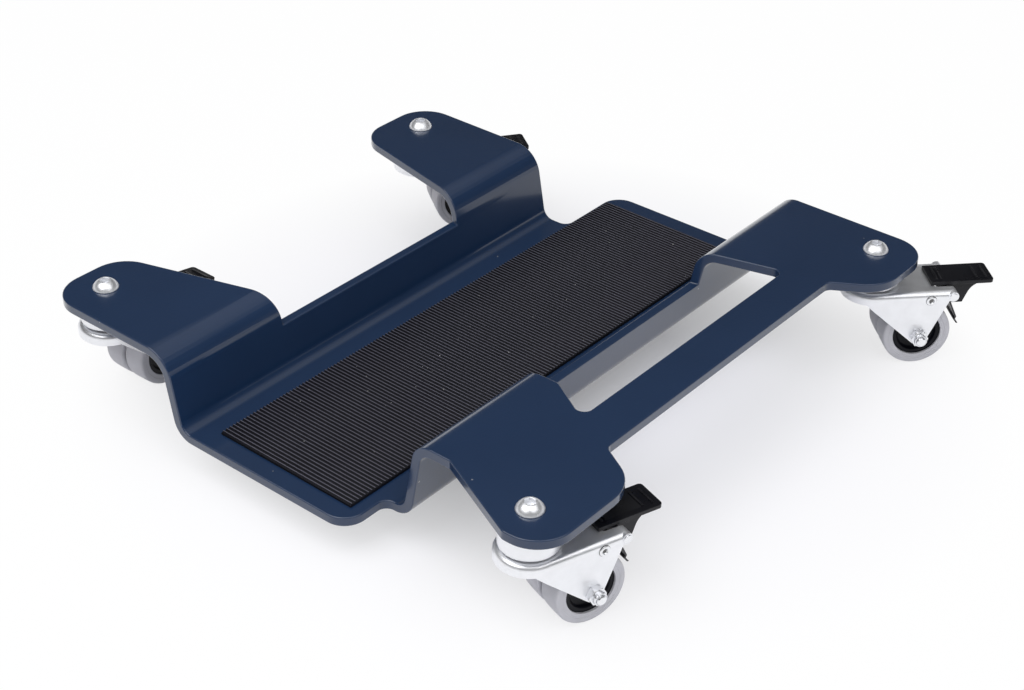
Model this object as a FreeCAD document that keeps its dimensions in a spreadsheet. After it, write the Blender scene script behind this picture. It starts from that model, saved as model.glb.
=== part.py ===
import FreeCAD, Part
import Sketcher
import math
import os
import re

# Driving dimensions of the motorcycle mover, in millimetres and degrees
SIZES = {
    # Bent steel plate: a channel between two leaning walls, with ears folded out for the castors
    "plate_sheet": 8.0,
    "plate_bend": 10.0,
    "left_ear_bend": 18.0,
    "right_ear_bend": 11.0,
    "channel_width": 191.0,
    "channel_depth": 65.0,
    "wall_lean": 10.5,
    "right_wall_near": 41.5,
    # Castor screw places
    "screw_span": 436.0,
    "near_screw": 36.0,
    "left_screw_gap": 374.0,
    "right_screw_gap": 454.0,
    "far_left_reach": 35.0,
    "far_right_reach": 30.0,
    # Ear outlines, measured from the screws
    "left_ear_reach": 29.0,
    "right_ear_reach": 36.0,
    "near_left_root": 84.0,
    "near_left_end": 38.0,
    "far_left_root": 82.0,
    "far_left_end": 48.0,
    "near_right_root": 90.0,
    "near_right_end": 68.0,
    "far_right_root": 70.0,
    "far_right_end": 46.0,
    "near_right_reach": 30.0,
    "ear_round": 30.0,
    "notch_round": 36.0,
    "notch_root_round": 8.0,
    # Lips left between the ears, and the grip bar with its window
    "left_lip_drop": 27.0,
    "right_lip_drop": 32.0,
    "bar_set": 3.0,
    "bar_width": 36.5,
    "window_near": 107.0,
    "window_far": 79.0,
    "window_near_web": 23.0,
    "window_far_web": 22.0,
    "window_knee_share": 0.524,
    "window_round": 7.0,
    # Deck tongues that run past the shorter wall on each side
    "near_tongue": 78.0,
    "far_tongue": 71.0,
    "flare_start": 46.0,
    "tongue_round": 19.0,
    "relief_round": 8.0,
    # Ribbed rubber mat
    "mat_side": 28.5,
    "mat_near": 17.0,
    "mat_far": 24.5,
    "mat_base": 2.0,
    "rib_pitch": 3.5,
    "rib_foot": 2.3,
    "rib_crest": 1.3,
    "rib_rise": 1.2,
    # Button-head castor screw and its flanged nut
    "screw_thread": 12.0,
    "screw_head": 21.0,
    "screw_head_height": 6.6,
    "screw_edge": 0.4,
    "screw_clearance": 0.5,
    "socket_width": 8.0,
    "socket_depth": 4.0,
    "screw_tail": 1.6,
    "nut_width": 18.0,
    "nut_height": 10.0,
    "nut_flange": 26.0,
    "nut_flange_height": 3.0,
    # Swivel head
    "race_neck_height": 6.0,
    "race_set": 2.5,
    "race_step": 3.0,
    "race_rim_height": 14.4,
    "race_edge_round": 2.0,
    "race_gap": 1.6,
    "king_wall": 1.6,
    "king_clearance": 0.4,
    "swivel_clearance": 0.3,
    "ball_ring_set": 4.5,
    # Pressed fork
    "tyre_headroom": 12.5,
    "fork_width": 51.0,
    "fork_sheet": 2.5,
    "fork_bend": 5.0,
    "nose_flat": 0.5,
    "fork_skirt": 9.5,
    "leg_front_slope": 42.0,
    "leg_rear_slope": 67.0,
    "boss_round": 8.0,
    "slot_clearance": 1.0,
    "slot_run": 15.0,
    # Wheels and axle
    "wheel_radius": 29.0,
    "axle_trail": 38.0,
    "axle_thread": 8.0,
    "axle_head": 13.0,
    "axle_head_height": 5.3,
    "axle_nut_height": 7.5,
    "axle_tail": 3.0,
    "sleeve_outer": 12.0,
    "running_clearance": 0.05,
    "tread_gap": 3.0,
    "tyre_side_gap": 1.0,
    "tyre_wall": 8.5,
    "tread_shoulder": 4.0,
    "hub_boss": 18.0,
    "hub_rim_wall": 3.5,
    "hub_dish_depth": 3.5,
    "hub_rim_inset": 2.0,
    "hub_end_gap": 0.6,
    # Brake pedal, its pin, the brake leaf and the cross rivet
    "pin_setback": 26.0,
    "pin_drop": 4.5,
    "pin_thread": 5.0,
    "pin_head": 7.0,
    "pin_head_height": 1.0,
    "pedal_gap": 0.4,
    "pedal_tail": 16.5,
    "pedal_reach": 37.5,
    "pedal_width": 28.0,
    "pedal_sheet": 3.2,
    "pedal_corner": 3.0,
    "front_grip_pitch": 8.0,
    "rear_grip_pitch": 3.6,
    "grip_width": 1.6,
    "grip_rise": 0.8,
    "grip_inset": 5.0,
    "pedal_hub": 6.5,
    "gusset_width": 20.0,
    "gusset_drop": 20.0,
    "gusset_set": 2.0,
    "gusset_reach": 14.0,
    "gusset_run": 7.0,
    "gusset_lip": 0.8,
    "gusset_sink": 1.6,
    "gusset_curve": 14.0,
    "leaf_width": 22.0,
    "leaf_sheet": 1.6,
    "leaf_set": 1.0,
    "leaf_knee_run": 1.0,
    "leaf_knee_rise": 2.5,
    "leaf_tip_run": 3.0,
    "leaf_tip_drop": 4.0,
    "shoe_angle": 8.6,
    "brake_clearance": 0.5,
    "rivet_setback": 7.0,
    "rivet_drop": 7.0,
    "rivet_shank": 6.0,
    "rivet_head": 8.6,
    "rivet_head_height": 1.2,
    "rivet_dimple": 4.0,
    # Swivel angles of the castors at rest, from across towards along the channel
    "near_left_swivel_angle": 90.0,
    "far_left_swivel_angle": 55.0,
    "near_right_swivel_angle": 71.0,
    "far_right_swivel_angle": 46.5,
    # Turn of a pressed brake pedal; the near left castor stands braked
    "brake_angle": 9.5,
    # Distance that a cutting outline runs past the face it opens
    "cut_margin": 5.0,
}

# Sizes and places that follow from the driving dimensions
FOLLOWING = {
    "plate_length": "near_screw + right_screw_gap + far_right_reach",
    "left_wall_length": "near_screw + left_screw_gap + far_left_reach",
    "ear_top": "fork_top + race_gap + race_rim_height + race_neck_height + plate_sheet",
    "deck_top": "ear_top - channel_depth",
    "left_end": "-(screw_span / 2 + left_ear_reach)",
    "right_end": "screw_span / 2 + right_ear_reach",
    "bar_outer": "screw_span / 2 - bar_set",
    "bar_inner": "bar_outer - bar_width",
    "window_knee": "channel_width / 2 + window_knee_share * (bar_inner - channel_width / 2)",
    "mat_width": "channel_width - 2 * mat_side",
    "mat_length": "plate_length - mat_near - mat_far",
    "screw_hole": "screw_thread + 2 * screw_clearance",
    "screw_crown": "screw_head_height - screw_edge",
    "nut_seat": "fork_top - fork_sheet - swivel_clearance",
    "race_rim": "fork_width - 2 * nose_flat - 2 * race_set",
    "race_neck": "race_rim - 2 * race_step",
    "ball_ring_outer": "race_rim - 2 * ball_ring_set",
    "king_tube": "screw_thread + 2 * king_clearance + 2 * king_wall",
    "fork_top": "2 * wheel_radius + tyre_headroom",
    "fork_nose": "fork_width / 2 - nose_flat",
    "fork_end": "pin_trail + cut_margin",
    "pedal_slot": "pedal_width + 2 * slot_clearance",
    "pedal_slot_start": "pin_trail - slot_run",
    "tyre_side": "fork_width / 2 - fork_sheet - tyre_side_gap",
    "rim_radius": "wheel_radius - tyre_wall",
    "hub_dish_radius": "rim_radius - hub_rim_wall",
    "pin_trail": "axle_trail + pin_setback",
    "pin_up": "fork_top - pin_drop",
    "pedal_rear": "pin_trail - pedal_tail",
    "pedal_front": "pin_trail + pedal_reach",
    "pedal_under": "fork_top + pedal_gap",
    "gusset_low": "pedal_under - gusset_drop",
    "gusset_rear": "pin_trail + gusset_set",
    "gusset_front": "pin_trail + gusset_reach",
    "rivet_trail": "axle_trail + rivet_setback",
    "rivet_up": "fork_top - rivet_drop",
}

CASTORS = ("near_left", "far_left", "near_right", "far_right")
BRAKED = ("near_left",)

doc = FreeCAD.newDocument("motorcycle_mover")
sheet = doc.addObject("Spreadsheet::Sheet", "sizes")
for row, (alias, number) in enumerate(SIZES.items(), 1):
    sheet.set(f"A{row}", alias)
    sheet.set(f"B{row}", str(number))
    sheet.setAlias(f"B{row}", alias)
doc.recompute()

# Each sub-part that is written out, in order
nodes = []

# Distance within which two places count as one
SAME = 0.001


def size(alias):
    """Return the number held in one cell of the sheet."""
    return float(sheet.get(alias))


def formula(text):
    """Return a formula in which every name is read from the sheet or replaced by what it follows from."""
    def read(word):
        name = word[0]
        if name in FOLLOWING:
            return f"({formula(FOLLOWING[name])})"
        return f"sizes.{name}" if name in SIZES else name

    return re.sub(r"[a-z_]+", read, text)


def bind(feature, **formulas):
    """Tie properties of a feature to formulas of the sheet."""
    for name, text in formulas.items():
        feature.setExpression(name.replace("__", "."), formula(text))


# Sketch helpers

def new_body(name):
    """Return an empty body."""
    return doc.addObject("PartDesign::Body", name)


def new_sketch(body, name, plane, height="0"):
    """Return a sketch on one of the body's origin planes, raised along its normal."""
    sketch = body.newObject("Sketcher::SketchObject", name)
    support = [item for item in body.Origin.OriginFeatures if item.Role == plane]
    sketch.AttachmentSupport = [(support[0], "")]
    sketch.MapMode = "FlatFace"
    if height != "0":
        bind(sketch, AttachmentOffset__Base__z=height)
    return sketch


def set_size(sketch, constraint, text):
    """Add a dimension to a sketch and tie it to a formula."""
    number = sketch.addConstraint(constraint)
    sketch.setExpression(f"Constraints[{number}]", formula(text))


def place_point(sketch, edge, end, across, up):
    """Fix one sketch point by its distances from the origin."""
    set_size(sketch, Sketcher.Constraint("DistanceX", -1, 1, edge, end, 1.0), across)
    set_size(sketch, Sketcher.Constraint("DistanceY", -1, 1, edge, end, 1.0), up)


def add_outline(sketch, corners):
    """Add a closed outline with straight sides through corners given as formulas."""
    first = sketch.GeometryCount
    count = len(corners)
    turns = [2 * math.pi * index / count for index in range(count)]
    ring = [FreeCAD.Vector(math.cos(turn), math.sin(turn), 0) for turn in turns]
    for index in range(count):
        sketch.addGeometry(Part.LineSegment(ring[index], ring[(index + 1) % count]), False)
    for index in range(count):
        following = first + (index + 1) % count
        sketch.addConstraint(Sketcher.Constraint("Coincident", first + index, 2, following, 1))
    for index, (across, up) in enumerate(corners):
        place_point(sketch, first + index, 1, across, up)


def add_circle(sketch, across, up, diameter):
    """Add a circle whose centre and diameter are given as formulas."""
    edge = sketch.GeometryCount
    sketch.addGeometry(Part.Circle(FreeCAD.Vector(0, 0, 0), FreeCAD.Vector(0, 0, 1), 1.0), False)
    set_size(sketch, Sketcher.Constraint("Diameter", edge, 1.0), diameter)
    place_point(sketch, edge, 3, across, up)


def outline(body, name, plane, corners, height="0"):
    """Return a sketch of one closed outline."""
    sketch = new_sketch(body, name, plane, height)
    add_outline(sketch, corners)
    doc.recompute()
    return sketch


def circles(body, name, plane, rounds, height="0"):
    """Return a sketch of circles, each given as centre and diameter."""
    sketch = new_sketch(body, name, plane, height)
    for across, up, diameter in rounds:
        add_circle(sketch, across, up, diameter)
    doc.recompute()
    return sketch


def rectangle(left, low, right, high):
    """Return the corners of an upright rectangle."""
    return [(left, low), (right, low), (right, high), (left, high)]


def hexagon(width):
    """Return the corners of a hexagon, given its width across flats."""
    angles = [60 * index for index in range(6)]
    return [(f"{width} / sqrt(3) * cos({angle})", f"{width} / sqrt(3) * sin({angle})") for angle in angles]


# Feature helpers

def pad(body, name, sketch, length, side="One side", back="0", reverse=False):
    """Return a pad of a sketch."""
    feature = body.newObject("PartDesign::Pad", name)
    feature.Profile = sketch
    feature.SideType = side
    feature.Reversed = reverse
    bind(feature, Length=length)
    if side == "Two sides":
        bind(feature, Length2=back)
    doc.recompute()
    return feature


def pocket(body, name, sketch, depth=None):
    """Return a cut of a sketch, to a depth below its plane or right through."""
    before = body.Shape.Volume
    feature = body.newObject("PartDesign::Pocket", name)
    feature.Profile = sketch
    if depth is None:
        feature.Type = "ThroughAll"
        feature.SideType = "Symmetric"
    else:
        bind(feature, Length=depth)
    doc.recompute()
    if body.Shape.Volume >= before:
        raise RuntimeError(f"{name} removes nothing")
    return feature


def revolve(body, name, corners, plane="XZ_Plane"):
    """Return a solid turned about the plane's upright axis."""
    sketch = outline(body, name + "_section", plane, corners)
    feature = body.newObject("PartDesign::Revolution", name)
    feature.Profile = sketch
    feature.ReferenceAxis = (sketch, ["V_Axis"])
    feature.Angle = 360.0
    doc.recompute()
    return feature


def fillet(body, name, edges, radius):
    """Return rounded edges of the body's last feature."""
    rounded = body.Tip
    feature = body.newObject("PartDesign::Fillet", name)
    feature.Base = (rounded, edges)
    bind(feature, Radius=radius)
    doc.recompute()
    return feature


def corner_edges(body, sketch, corners):
    """Name the body's edges that stand on given corners of a sketch, along its normal."""
    normal = sketch.Placement.Rotation.multVec(FreeCAD.Vector(0, 0, 1))
    feet = [sketch.Placement.multVec(sketch.getPoint(corner, 1)) for corner in corners]
    names = []
    for number, edge in enumerate(body.Tip.Shape.Edges, 1):
        if edge.Curve.TypeId != "Part::GeomLine":
            continue
        start = edge.Vertexes[0].Point
        run = edge.Vertexes[-1].Point - start
        if run.cross(normal).Length > SAME * run.Length:
            continue
        if any((foot - start).cross(normal).Length < SAME for foot in feet):
            names.append(f"Edge{number}")
    return names


def edges_where(body, test):
    """Name the body's edges whose bounding box passes a test."""
    edges = enumerate(body.Tip.Shape.Edges, 1)
    return [f"Edge{number}" for number, edge in edges if test(edge.BoundBox)]


def is_level(box, height):
    """Tell whether an edge's box lies flat at one height."""
    return abs(box.ZMin - height) < SAME and abs(box.ZMax - height) < SAME


# Bent plate

def build_plate():
    """Fold the profile along its length, then cut the ears, bar, lips and tongues from it."""
    body = new_body("deck_plate")
    run = "channel_depth * tan(wall_lean)"
    skin = "plate_sheet / cos(wall_lean)"
    foot = "plate_sheet * tan(wall_lean)"
    upper = [
        ("right_end", "ear_top"),
        (f"channel_width / 2 + {run}", "ear_top"),
        ("channel_width / 2", "deck_top"),
    ]
    lower = [
        (f"channel_width / 2 + {skin} - {foot}", "deck_top - plate_sheet"),
        (f"channel_width / 2 + {skin} + {run} - {foot}", "ear_top - plate_sheet"),
        ("right_end", "ear_top - plate_sheet"),
    ]

    def mirrored(corners):
        flipped = {across: f"-({across})" for across, up in corners}
        flipped["right_end"] = "left_end"
        return [(flipped[across], up) for across, up in reversed(corners)]

    profile = outline(body, "folded_profile", "XZ_Plane", upper + mirrored(upper) + mirrored(lower) + lower)
    pad(body, "folded_plate", profile, "plate_length", reverse=True)
    fillet(body, "deck_bends_inside", corner_edges(body, profile, [2, 3]), "plate_bend")
    fillet(body, "deck_bends_outside", corner_edges(body, profile, [8, 9]), "plate_bend + plate_sheet")
    fillet(body, "left_bend_inside", corner_edges(body, profile, [7]), "left_ear_bend")
    fillet(body, "left_bend_outside", corner_edges(body, profile, [4]), "left_ear_bend + plate_sheet")
    fillet(body, "right_bend_inside", corner_edges(body, profile, [10]), "right_ear_bend")
    fillet(body, "right_bend_outside", corner_edges(body, profile, [1]), "right_ear_bend + plate_sheet")
    cut_left_notch(body)
    cut_window(body)
    cut_right_notch(body)
    cut_near_corner(body)
    cut_far_corner(body)
    holes = [(across, along, "screw_hole") for across, along in screw_places().values()]
    pocket(body, "screw_holes", circles(body, "screw_hole_centres", "XY_Plane", holes))
    round_ear_ends(body)
    return body


def screw_places():
    """Return the formulas of each castor screw's place on the plate."""
    return {
        "near_left": ("-screw_span / 2", "near_screw"),
        "far_left": ("-screw_span / 2", "near_screw + left_screw_gap"),
        "near_right": ("screw_span / 2", "near_screw"),
        "far_right": ("screw_span / 2", "near_screw + right_screw_gap"),
    }


def cut_left_notch(body):
    """Open the left side between its two ears, down to a low lip."""
    root = "-channel_width / 2"
    beyond = "left_end - cut_margin"
    near_end = "near_screw + near_left_end"
    far_end = "near_screw + left_screw_gap - far_left_end"
    corners = [
        (root, "near_screw + near_left_root"),
        ("left_end", near_end),
        (beyond, near_end),
        (beyond, far_end),
        ("left_end", far_end),
        (root, "near_screw + left_screw_gap - far_left_root"),
    ]
    sketch = outline(body, "left_notch_outline", "XY_Plane", corners, "ear_top + cut_margin")
    pocket(body, "left_notch", sketch, "left_lip_drop + cut_margin")
    fillet(body, "left_ear_corners", corner_edges(body, sketch, [1, 4]), "ear_round")


def cut_window(body):
    """Open the window beside the grip bar, down to the right lip, with slanting ends."""
    near = "near_screw + window_near"
    far = "near_screw + right_screw_gap - window_far"
    near_root = f"{near} + window_near_web"
    corners = [
        ("channel_width / 2", near_root),
        ("window_knee", near_root),
        ("bar_inner", near),
        ("bar_inner", far),
        ("channel_width / 2", f"{far} - window_far_web"),
    ]
    sketch = outline(body, "window_outline", "XY_Plane", corners, "ear_top + cut_margin")
    pocket(body, "window", sketch, "right_lip_drop + cut_margin")
    fillet(body, "window_corners", corner_edges(body, sketch, [1, 2, 3]), "window_round")


def cut_right_notch(body):
    """Set the grip bar back between the two right ears."""
    beyond = "right_end + cut_margin"
    near_end = "near_screw + near_right_end"
    far_end = "near_screw + right_screw_gap - far_right_end"
    corners = [
        ("bar_outer", "near_screw + near_right_root"),
        ("right_end", near_end),
        (beyond, near_end),
        (beyond, far_end),
        ("right_end", far_end),
        ("bar_outer", "near_screw + right_screw_gap - far_right_root"),
    ]
    sketch = outline(body, "right_notch_outline", "XY_Plane", corners)
    pocket(body, "right_notch", sketch)
    fillet(body, "notch_corners", corner_edges(body, sketch, [1, 4]), "notch_round")
    fillet(body, "notch_roots", corner_edges(body, sketch, [0, 5]), "notch_root_round")


def cut_near_corner(body):
    """Shorten the right wall at the near end, beside the near deck tongue."""
    beyond = "right_end + cut_margin"
    ear_near = "near_screw - near_right_reach"
    corners = [
        ("near_tongue", "-cut_margin"),
        ("near_tongue", "right_wall_near"),
        ("channel_width / 2 + flare_start", "right_wall_near"),
        ("screw_span / 2", ear_near),
        (beyond, ear_near),
        (beyond, "-cut_margin"),
    ]
    sketch = outline(body, "near_corner_outline", "XY_Plane", corners)
    pocket(body, "near_corner", sketch)
    fillet(body, "near_relief", corner_edges(body, sketch, [1]), "relief_round")
    fillet(body, "near_flare", corner_edges(body, sketch, [2, 3]), "relief_round")


def cut_far_corner(body):
    """Shorten the left wall at the far end, beside the far deck tongue."""
    beyond = "left_end - cut_margin"
    corners = rectangle(beyond, "left_wall_length", "-far_tongue", "plate_length + cut_margin")
    sketch = outline(body, "far_corner_outline", "XY_Plane", corners)
    pocket(body, "far_corner", sketch)
    fillet(body, "far_relief", corner_edges(body, sketch, [1]), "relief_round")


def round_ear_ends(body):
    """Round the outer corners of the ears and the free corners of the deck tongues."""
    left = -size("screw_span") / 2 - size("left_ear_reach")
    right = size("screw_span") / 2 + size("right_ear_reach")
    ear_near = size("near_screw") - size("near_right_reach")
    left_far = size("near_screw") + size("left_screw_gap") + size("far_left_reach")
    far = size("near_screw") + size("right_screw_gap") + size("far_right_reach")
    ears = [(left, 0.0), (left, left_far), (right, ear_near), (right, far)]
    tongues = [(size("near_tongue"), 0.0), (-size("far_tongue"), far)]
    fillet(body, "ear_ends", upright_edges(body, ears), "ear_round")
    fillet(body, "tongue_ends", upright_edges(body, tongues), "tongue_round")


def upright_edges(body, places):
    """Name the upright edges that stand at given places in plan."""
    def stands(box):
        corner = FreeCAD.Vector(box.XMin, box.YMin, 0)
        upright = math.hypot(box.XLength, box.YLength) < SAME
        return upright and any((corner - FreeCAD.Vector(*place)).Length < SAME for place in places)

    return edges_where(body, stands)


# Ribbed mat

def build_mat():
    """Lay a rubber sheet on the deck, with a rib repeated along it."""
    body = new_body("ribbed_mat")
    corners = rectangle("-mat_width / 2", "mat_near", "mat_width / 2", "mat_near + mat_length")
    pad(body, "mat_sheet", outline(body, "mat_outline", "XY_Plane", corners, "deck_top"), "mat_base")
    middle = "mat_near + rib_pitch / 2"
    foot = "deck_top + mat_base"
    crest = f"{foot} + rib_rise"
    rib = [
        (f"{middle} - rib_foot / 2", foot),
        (f"{middle} + rib_foot / 2", foot),
        (f"{middle} + rib_crest / 2", crest),
        (f"{middle} - rib_crest / 2", crest),
    ]
    first = pad(body, "first_rib", outline(body, "rib_section", "YZ_Plane", rib), "mat_width", "Symmetric")
    pattern = body.newObject("PartDesign::LinearPattern", "ribs")
    pattern.Originals = [first]
    along = [item for item in body.Origin.OriginFeatures if item.Role == "Y_Axis"]
    pattern.Direction = (along[0], [""])
    pattern.Mode = "Spacing"
    bind(pattern, Offset="rib_pitch", Occurrences="floor(mat_length / rib_pitch)")
    body.Tip = pattern
    doc.recompute()
    return body


# Castor pieces, each modelled once about its swivel axis or its axle

def build_screw():
    """Make a button-head screw with a hexagon socket, its head on the ear."""
    body = new_body("screw")
    head = circles(body, "head_round", "XY_Plane", [("0", "0", "screw_head")], "ear_top")
    pad(body, "head", head, "screw_head_height")
    crown = body.Shape.BoundBox.ZMax
    fillet(body, "crown", edges_where(body, lambda box: is_level(box, crown)), "screw_crown")
    head_top = "ear_top + screw_head_height"
    socket = outline(body, "socket_hexagon", "XY_Plane", hexagon("socket_width"), head_top)
    pocket(body, "socket", socket, "socket_depth")
    shank = circles(body, "shank_round", "XY_Plane", [("0", "0", "screw_thread")], "ear_top")
    pad(body, "shank", shank, "ear_top - nut_seat + nut_height + screw_tail", reverse=True)
    return body


def build_nut():
    """Make the flanged nut that holds a castor to its screw."""
    body = new_body("nut")
    flange = circles(body, "flange_round", "XY_Plane", [("0", "0", "nut_flange")], "nut_seat")
    pad(body, "flange", flange, "nut_flange_height", reverse=True)
    flats = outline(body, "flats", "XY_Plane", hexagon("nut_width"), "nut_seat")
    pad(body, "hexagon", flats, "nut_height", reverse=True)
    bore = circles(body, "bore_round", "XY_Plane", [("0", "0", "screw_thread")])
    pocket(body, "bore", bore)
    return body


def build_race():
    """Turn the upper race and its king tube."""
    body = new_body("race")
    seat = "ear_top - plate_sheet"
    under = "fork_top + race_gap"
    bore = "screw_thread / 2 + king_clearance"
    corners = [
        (bore, seat),
        ("race_neck / 2", seat),
        ("race_neck / 2", f"{under} + race_rim_height"),
        ("race_rim / 2", f"{under} + race_rim_height"),
        ("race_rim / 2", under),
        ("king_tube / 2", under),
        ("king_tube / 2", "nut_seat"),
        (bore, "nut_seat"),
    ]
    revolve(body, "turned_race", corners)
    rim = size("fork_width") / 2 - size("nose_flat") - size("race_set")
    edges = edges_where(body, lambda box: box.XMax > rim - SAME and box.ZLength < SAME)
    fillet(body, "race_edges", edges, "race_edge_round")
    return body


def build_ball_ring():
    """Turn the ring that keeps the balls between the race and the fork."""
    body = new_body("ball_ring")
    inner = "king_tube / 2 + 2 * king_clearance"
    corners = rectangle(inner, "fork_top", "ball_ring_outer / 2", "fork_top + race_gap - swivel_clearance")
    revolve(body, "turned_ring", corners)
    return body


def build_fork():
    """Press a fork: a round-nosed cap with bent edges, cut to two legs with lugs behind."""
    body = new_body("fork")
    corners = rectangle("-fork_width / 2", "-fork_width / 2", "fork_end", "fork_width / 2")
    blank = outline(body, "cap_outline", "XY_Plane", corners)
    pad(body, "cap", blank, "fork_top")
    fillet(body, "nose", corner_edges(body, blank, [0, 3]), "fork_nose")
    top = body.Shape.BoundBox.ZMax
    back = max(edge.BoundBox.XMax for edge in body.Tip.Shape.Edges)
    rim = edges_where(body, lambda box: is_level(box, top) and box.XMin < back - SAME)
    fillet(body, "bent_rim", rim, "fork_bend")
    cap = body.Tip
    faces = enumerate(cap.Shape.Faces, 1)
    open_faces = [f"Face{number}" for number, face in faces if is_open_face(face, back)]
    shell = body.newObject("PartDesign::Thickness", "pressed_sheet")
    shell.Base = (cap, open_faces)
    shell.Reversed = True
    bind(shell, Value="fork_sheet")
    doc.recompute()
    trim_legs(body)
    curl_knuckles(body)
    slot = rectangle("pedal_slot_start", "-pedal_slot / 2", "fork_end + cut_margin", "pedal_slot / 2")
    slot_sketch = outline(body, "pedal_slot_outline", "XY_Plane", slot, "fork_top + cut_margin")
    pocket(body, "pedal_slot", slot_sketch, "fork_sheet + cut_margin + fork_bend")
    fillet(body, "slot_corners", corner_edges(body, slot_sketch, [0, 3]), "fork_bend")
    crown = circles(body, "king_hole_round", "XY_Plane", [("0", "0", "king_tube + 2 * king_clearance")])
    pocket(body, "king_hole", crown)
    cross = [
        ("axle_trail", "wheel_radius", "axle_thread"),
        ("pin_trail", "pin_up", "pin_thread"),
        ("rivet_trail", "rivet_up", "rivet_shank"),
    ]
    pocket(body, "cross_holes", circles(body, "cross_hole_centres", "XZ_Plane", cross))
    return body


def is_open_face(face, back):
    """Tell whether a face of the cap is its open underside or its open rear."""
    box = face.BoundBox
    return box.ZMax < SAME or box.XMin > back - SAME


def trim_legs(body):
    """Cut the cap's sides to legs that taper from the skirt and the rear to the axle boss."""
    skirt = "fork_top - fork_skirt"
    above = "fork_top + cut_margin"
    ahead = "-fork_width / 2 - cut_margin"
    fall = f"({skirt} - wheel_radius) * cos(leg_front_slope)"
    front = f"axle_trail - (boss_round + {fall}) / sin(leg_front_slope)"
    spread = "(1 + cos(leg_front_slope + leg_rear_slope))"
    tip = f"axle_trail + boss_round * (sin(leg_rear_slope) - sin(leg_front_slope)) / {spread}"
    low = f"wheel_radius - boss_round * (cos(leg_front_slope) + cos(leg_rear_slope)) / {spread}"
    rise = f"({above} - wheel_radius) * cos(leg_rear_slope)"
    rear = f"axle_trail + (boss_round + {rise}) / sin(leg_rear_slope)"
    kept = [(ahead, above), (ahead, skirt), (front, skirt), (tip, low), (rear, above)]
    frame = rectangle(f"{ahead} - cut_margin", "-2 * cut_margin - boss_round", "fork_end + 2 * cut_margin",
                      f"{above} + cut_margin")
    sketch = new_sketch(body, "leg_outline", "XZ_Plane")
    add_outline(sketch, kept)
    add_outline(sketch, frame)
    doc.recompute()
    pocket(body, "legs", sketch)
    fillet(body, "boss", corner_edges(body, sketch, [3]), "boss_round")


def curl_knuckles(body):
    """Curl the sheet's rear ends into two knuckles that carry the pedal's pin."""
    round_end = [("pin_trail", "pin_up", "2 * pin_drop")]
    wide = "fork_width / 2 - pedal_slot / 2"
    near = circles(body, "near_knuckle_round", "XZ_Plane", round_end, "pedal_slot / 2")
    pad(body, "near_knuckle", near, wide)
    far = circles(body, "far_knuckle_round", "XZ_Plane", round_end, "-pedal_slot / 2")
    pad(body, "far_knuckle", far, wide, reverse=True)


def build_axle_bolt():
    """Make the axle bolt: a hexagon head outside one leg and a plain shank through both."""
    body = new_body("axle_bolt")
    shank = circles(body, "shank_round", "XZ_Plane", [("0", "0", "axle_thread")])
    pad(body, "shank", shank, "fork_width / 2 + axle_nut_height + axle_tail", "Two sides", "fork_width / 2")
    head = outline(body, "head_hexagon", "XZ_Plane", hexagon("axle_head"), "-fork_width / 2")
    pad(body, "head", head, "axle_head_height", reverse=True)
    return body


def build_axle_nut():
    """Make the thin axle nut."""
    body = new_body("axle_nut")
    sketch = new_sketch(body, "nut_section", "XZ_Plane", "fork_width / 2")
    add_outline(sketch, hexagon("axle_head"))
    add_circle(sketch, "0", "0", "axle_thread")
    doc.recompute()
    pad(body, "nut", sketch, "axle_nut_height")
    return body


def build_sleeve():
    """Make the axle sleeve that the hubs turn on, held between the legs."""
    body = new_body("sleeve")
    rounds = [("0", "0", "sleeve_outer"), ("0", "0", "axle_thread")]
    section = circles(body, "tube_section", "XZ_Plane", rounds)
    pad(body, "tube", section, "fork_width - 2 * fork_sheet", "Symmetric")
    return body


def build_hub():
    """Turn a wheel hub with a bore, a boss, a dished web and a rim."""
    body = new_body("hub")
    bore = "sleeve_outer / 2 + running_clearance"
    outer_end = "fork_width / 2 - fork_sheet - hub_end_gap / 2"
    rim_face = "tyre_side - hub_rim_inset"
    dish = f"{rim_face} - hub_dish_depth"
    corners = [
        (bore, "hub_end_gap"),
        ("hub_boss / 2", "hub_end_gap"),
        ("hub_boss / 2", "tread_gap / 2"),
        ("rim_radius", "tread_gap / 2"),
        ("rim_radius", rim_face),
        ("hub_dish_radius", rim_face),
        ("hub_dish_radius", dish),
        ("hub_boss / 2", dish),
        ("hub_boss / 2", outer_end),
        (bore, outer_end),
    ]
    revolve(body, "turned_hub", corners, "XY_Plane")
    return body


def build_tyre():
    """Turn a tyre with rounded shoulders round the hub's rim."""
    body = new_body("tyre")
    corners = rectangle("rim_radius", "tread_gap / 2", "wheel_radius", "tyre_side")
    revolve(body, "turned_tyre", corners, "XY_Plane")
    tread = size("wheel_radius")
    edges = edges_where(body, lambda box: box.XMax > tread - SAME and box.YLength < SAME)
    fillet(body, "shoulders", edges, "tread_shoulder")
    return body


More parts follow.
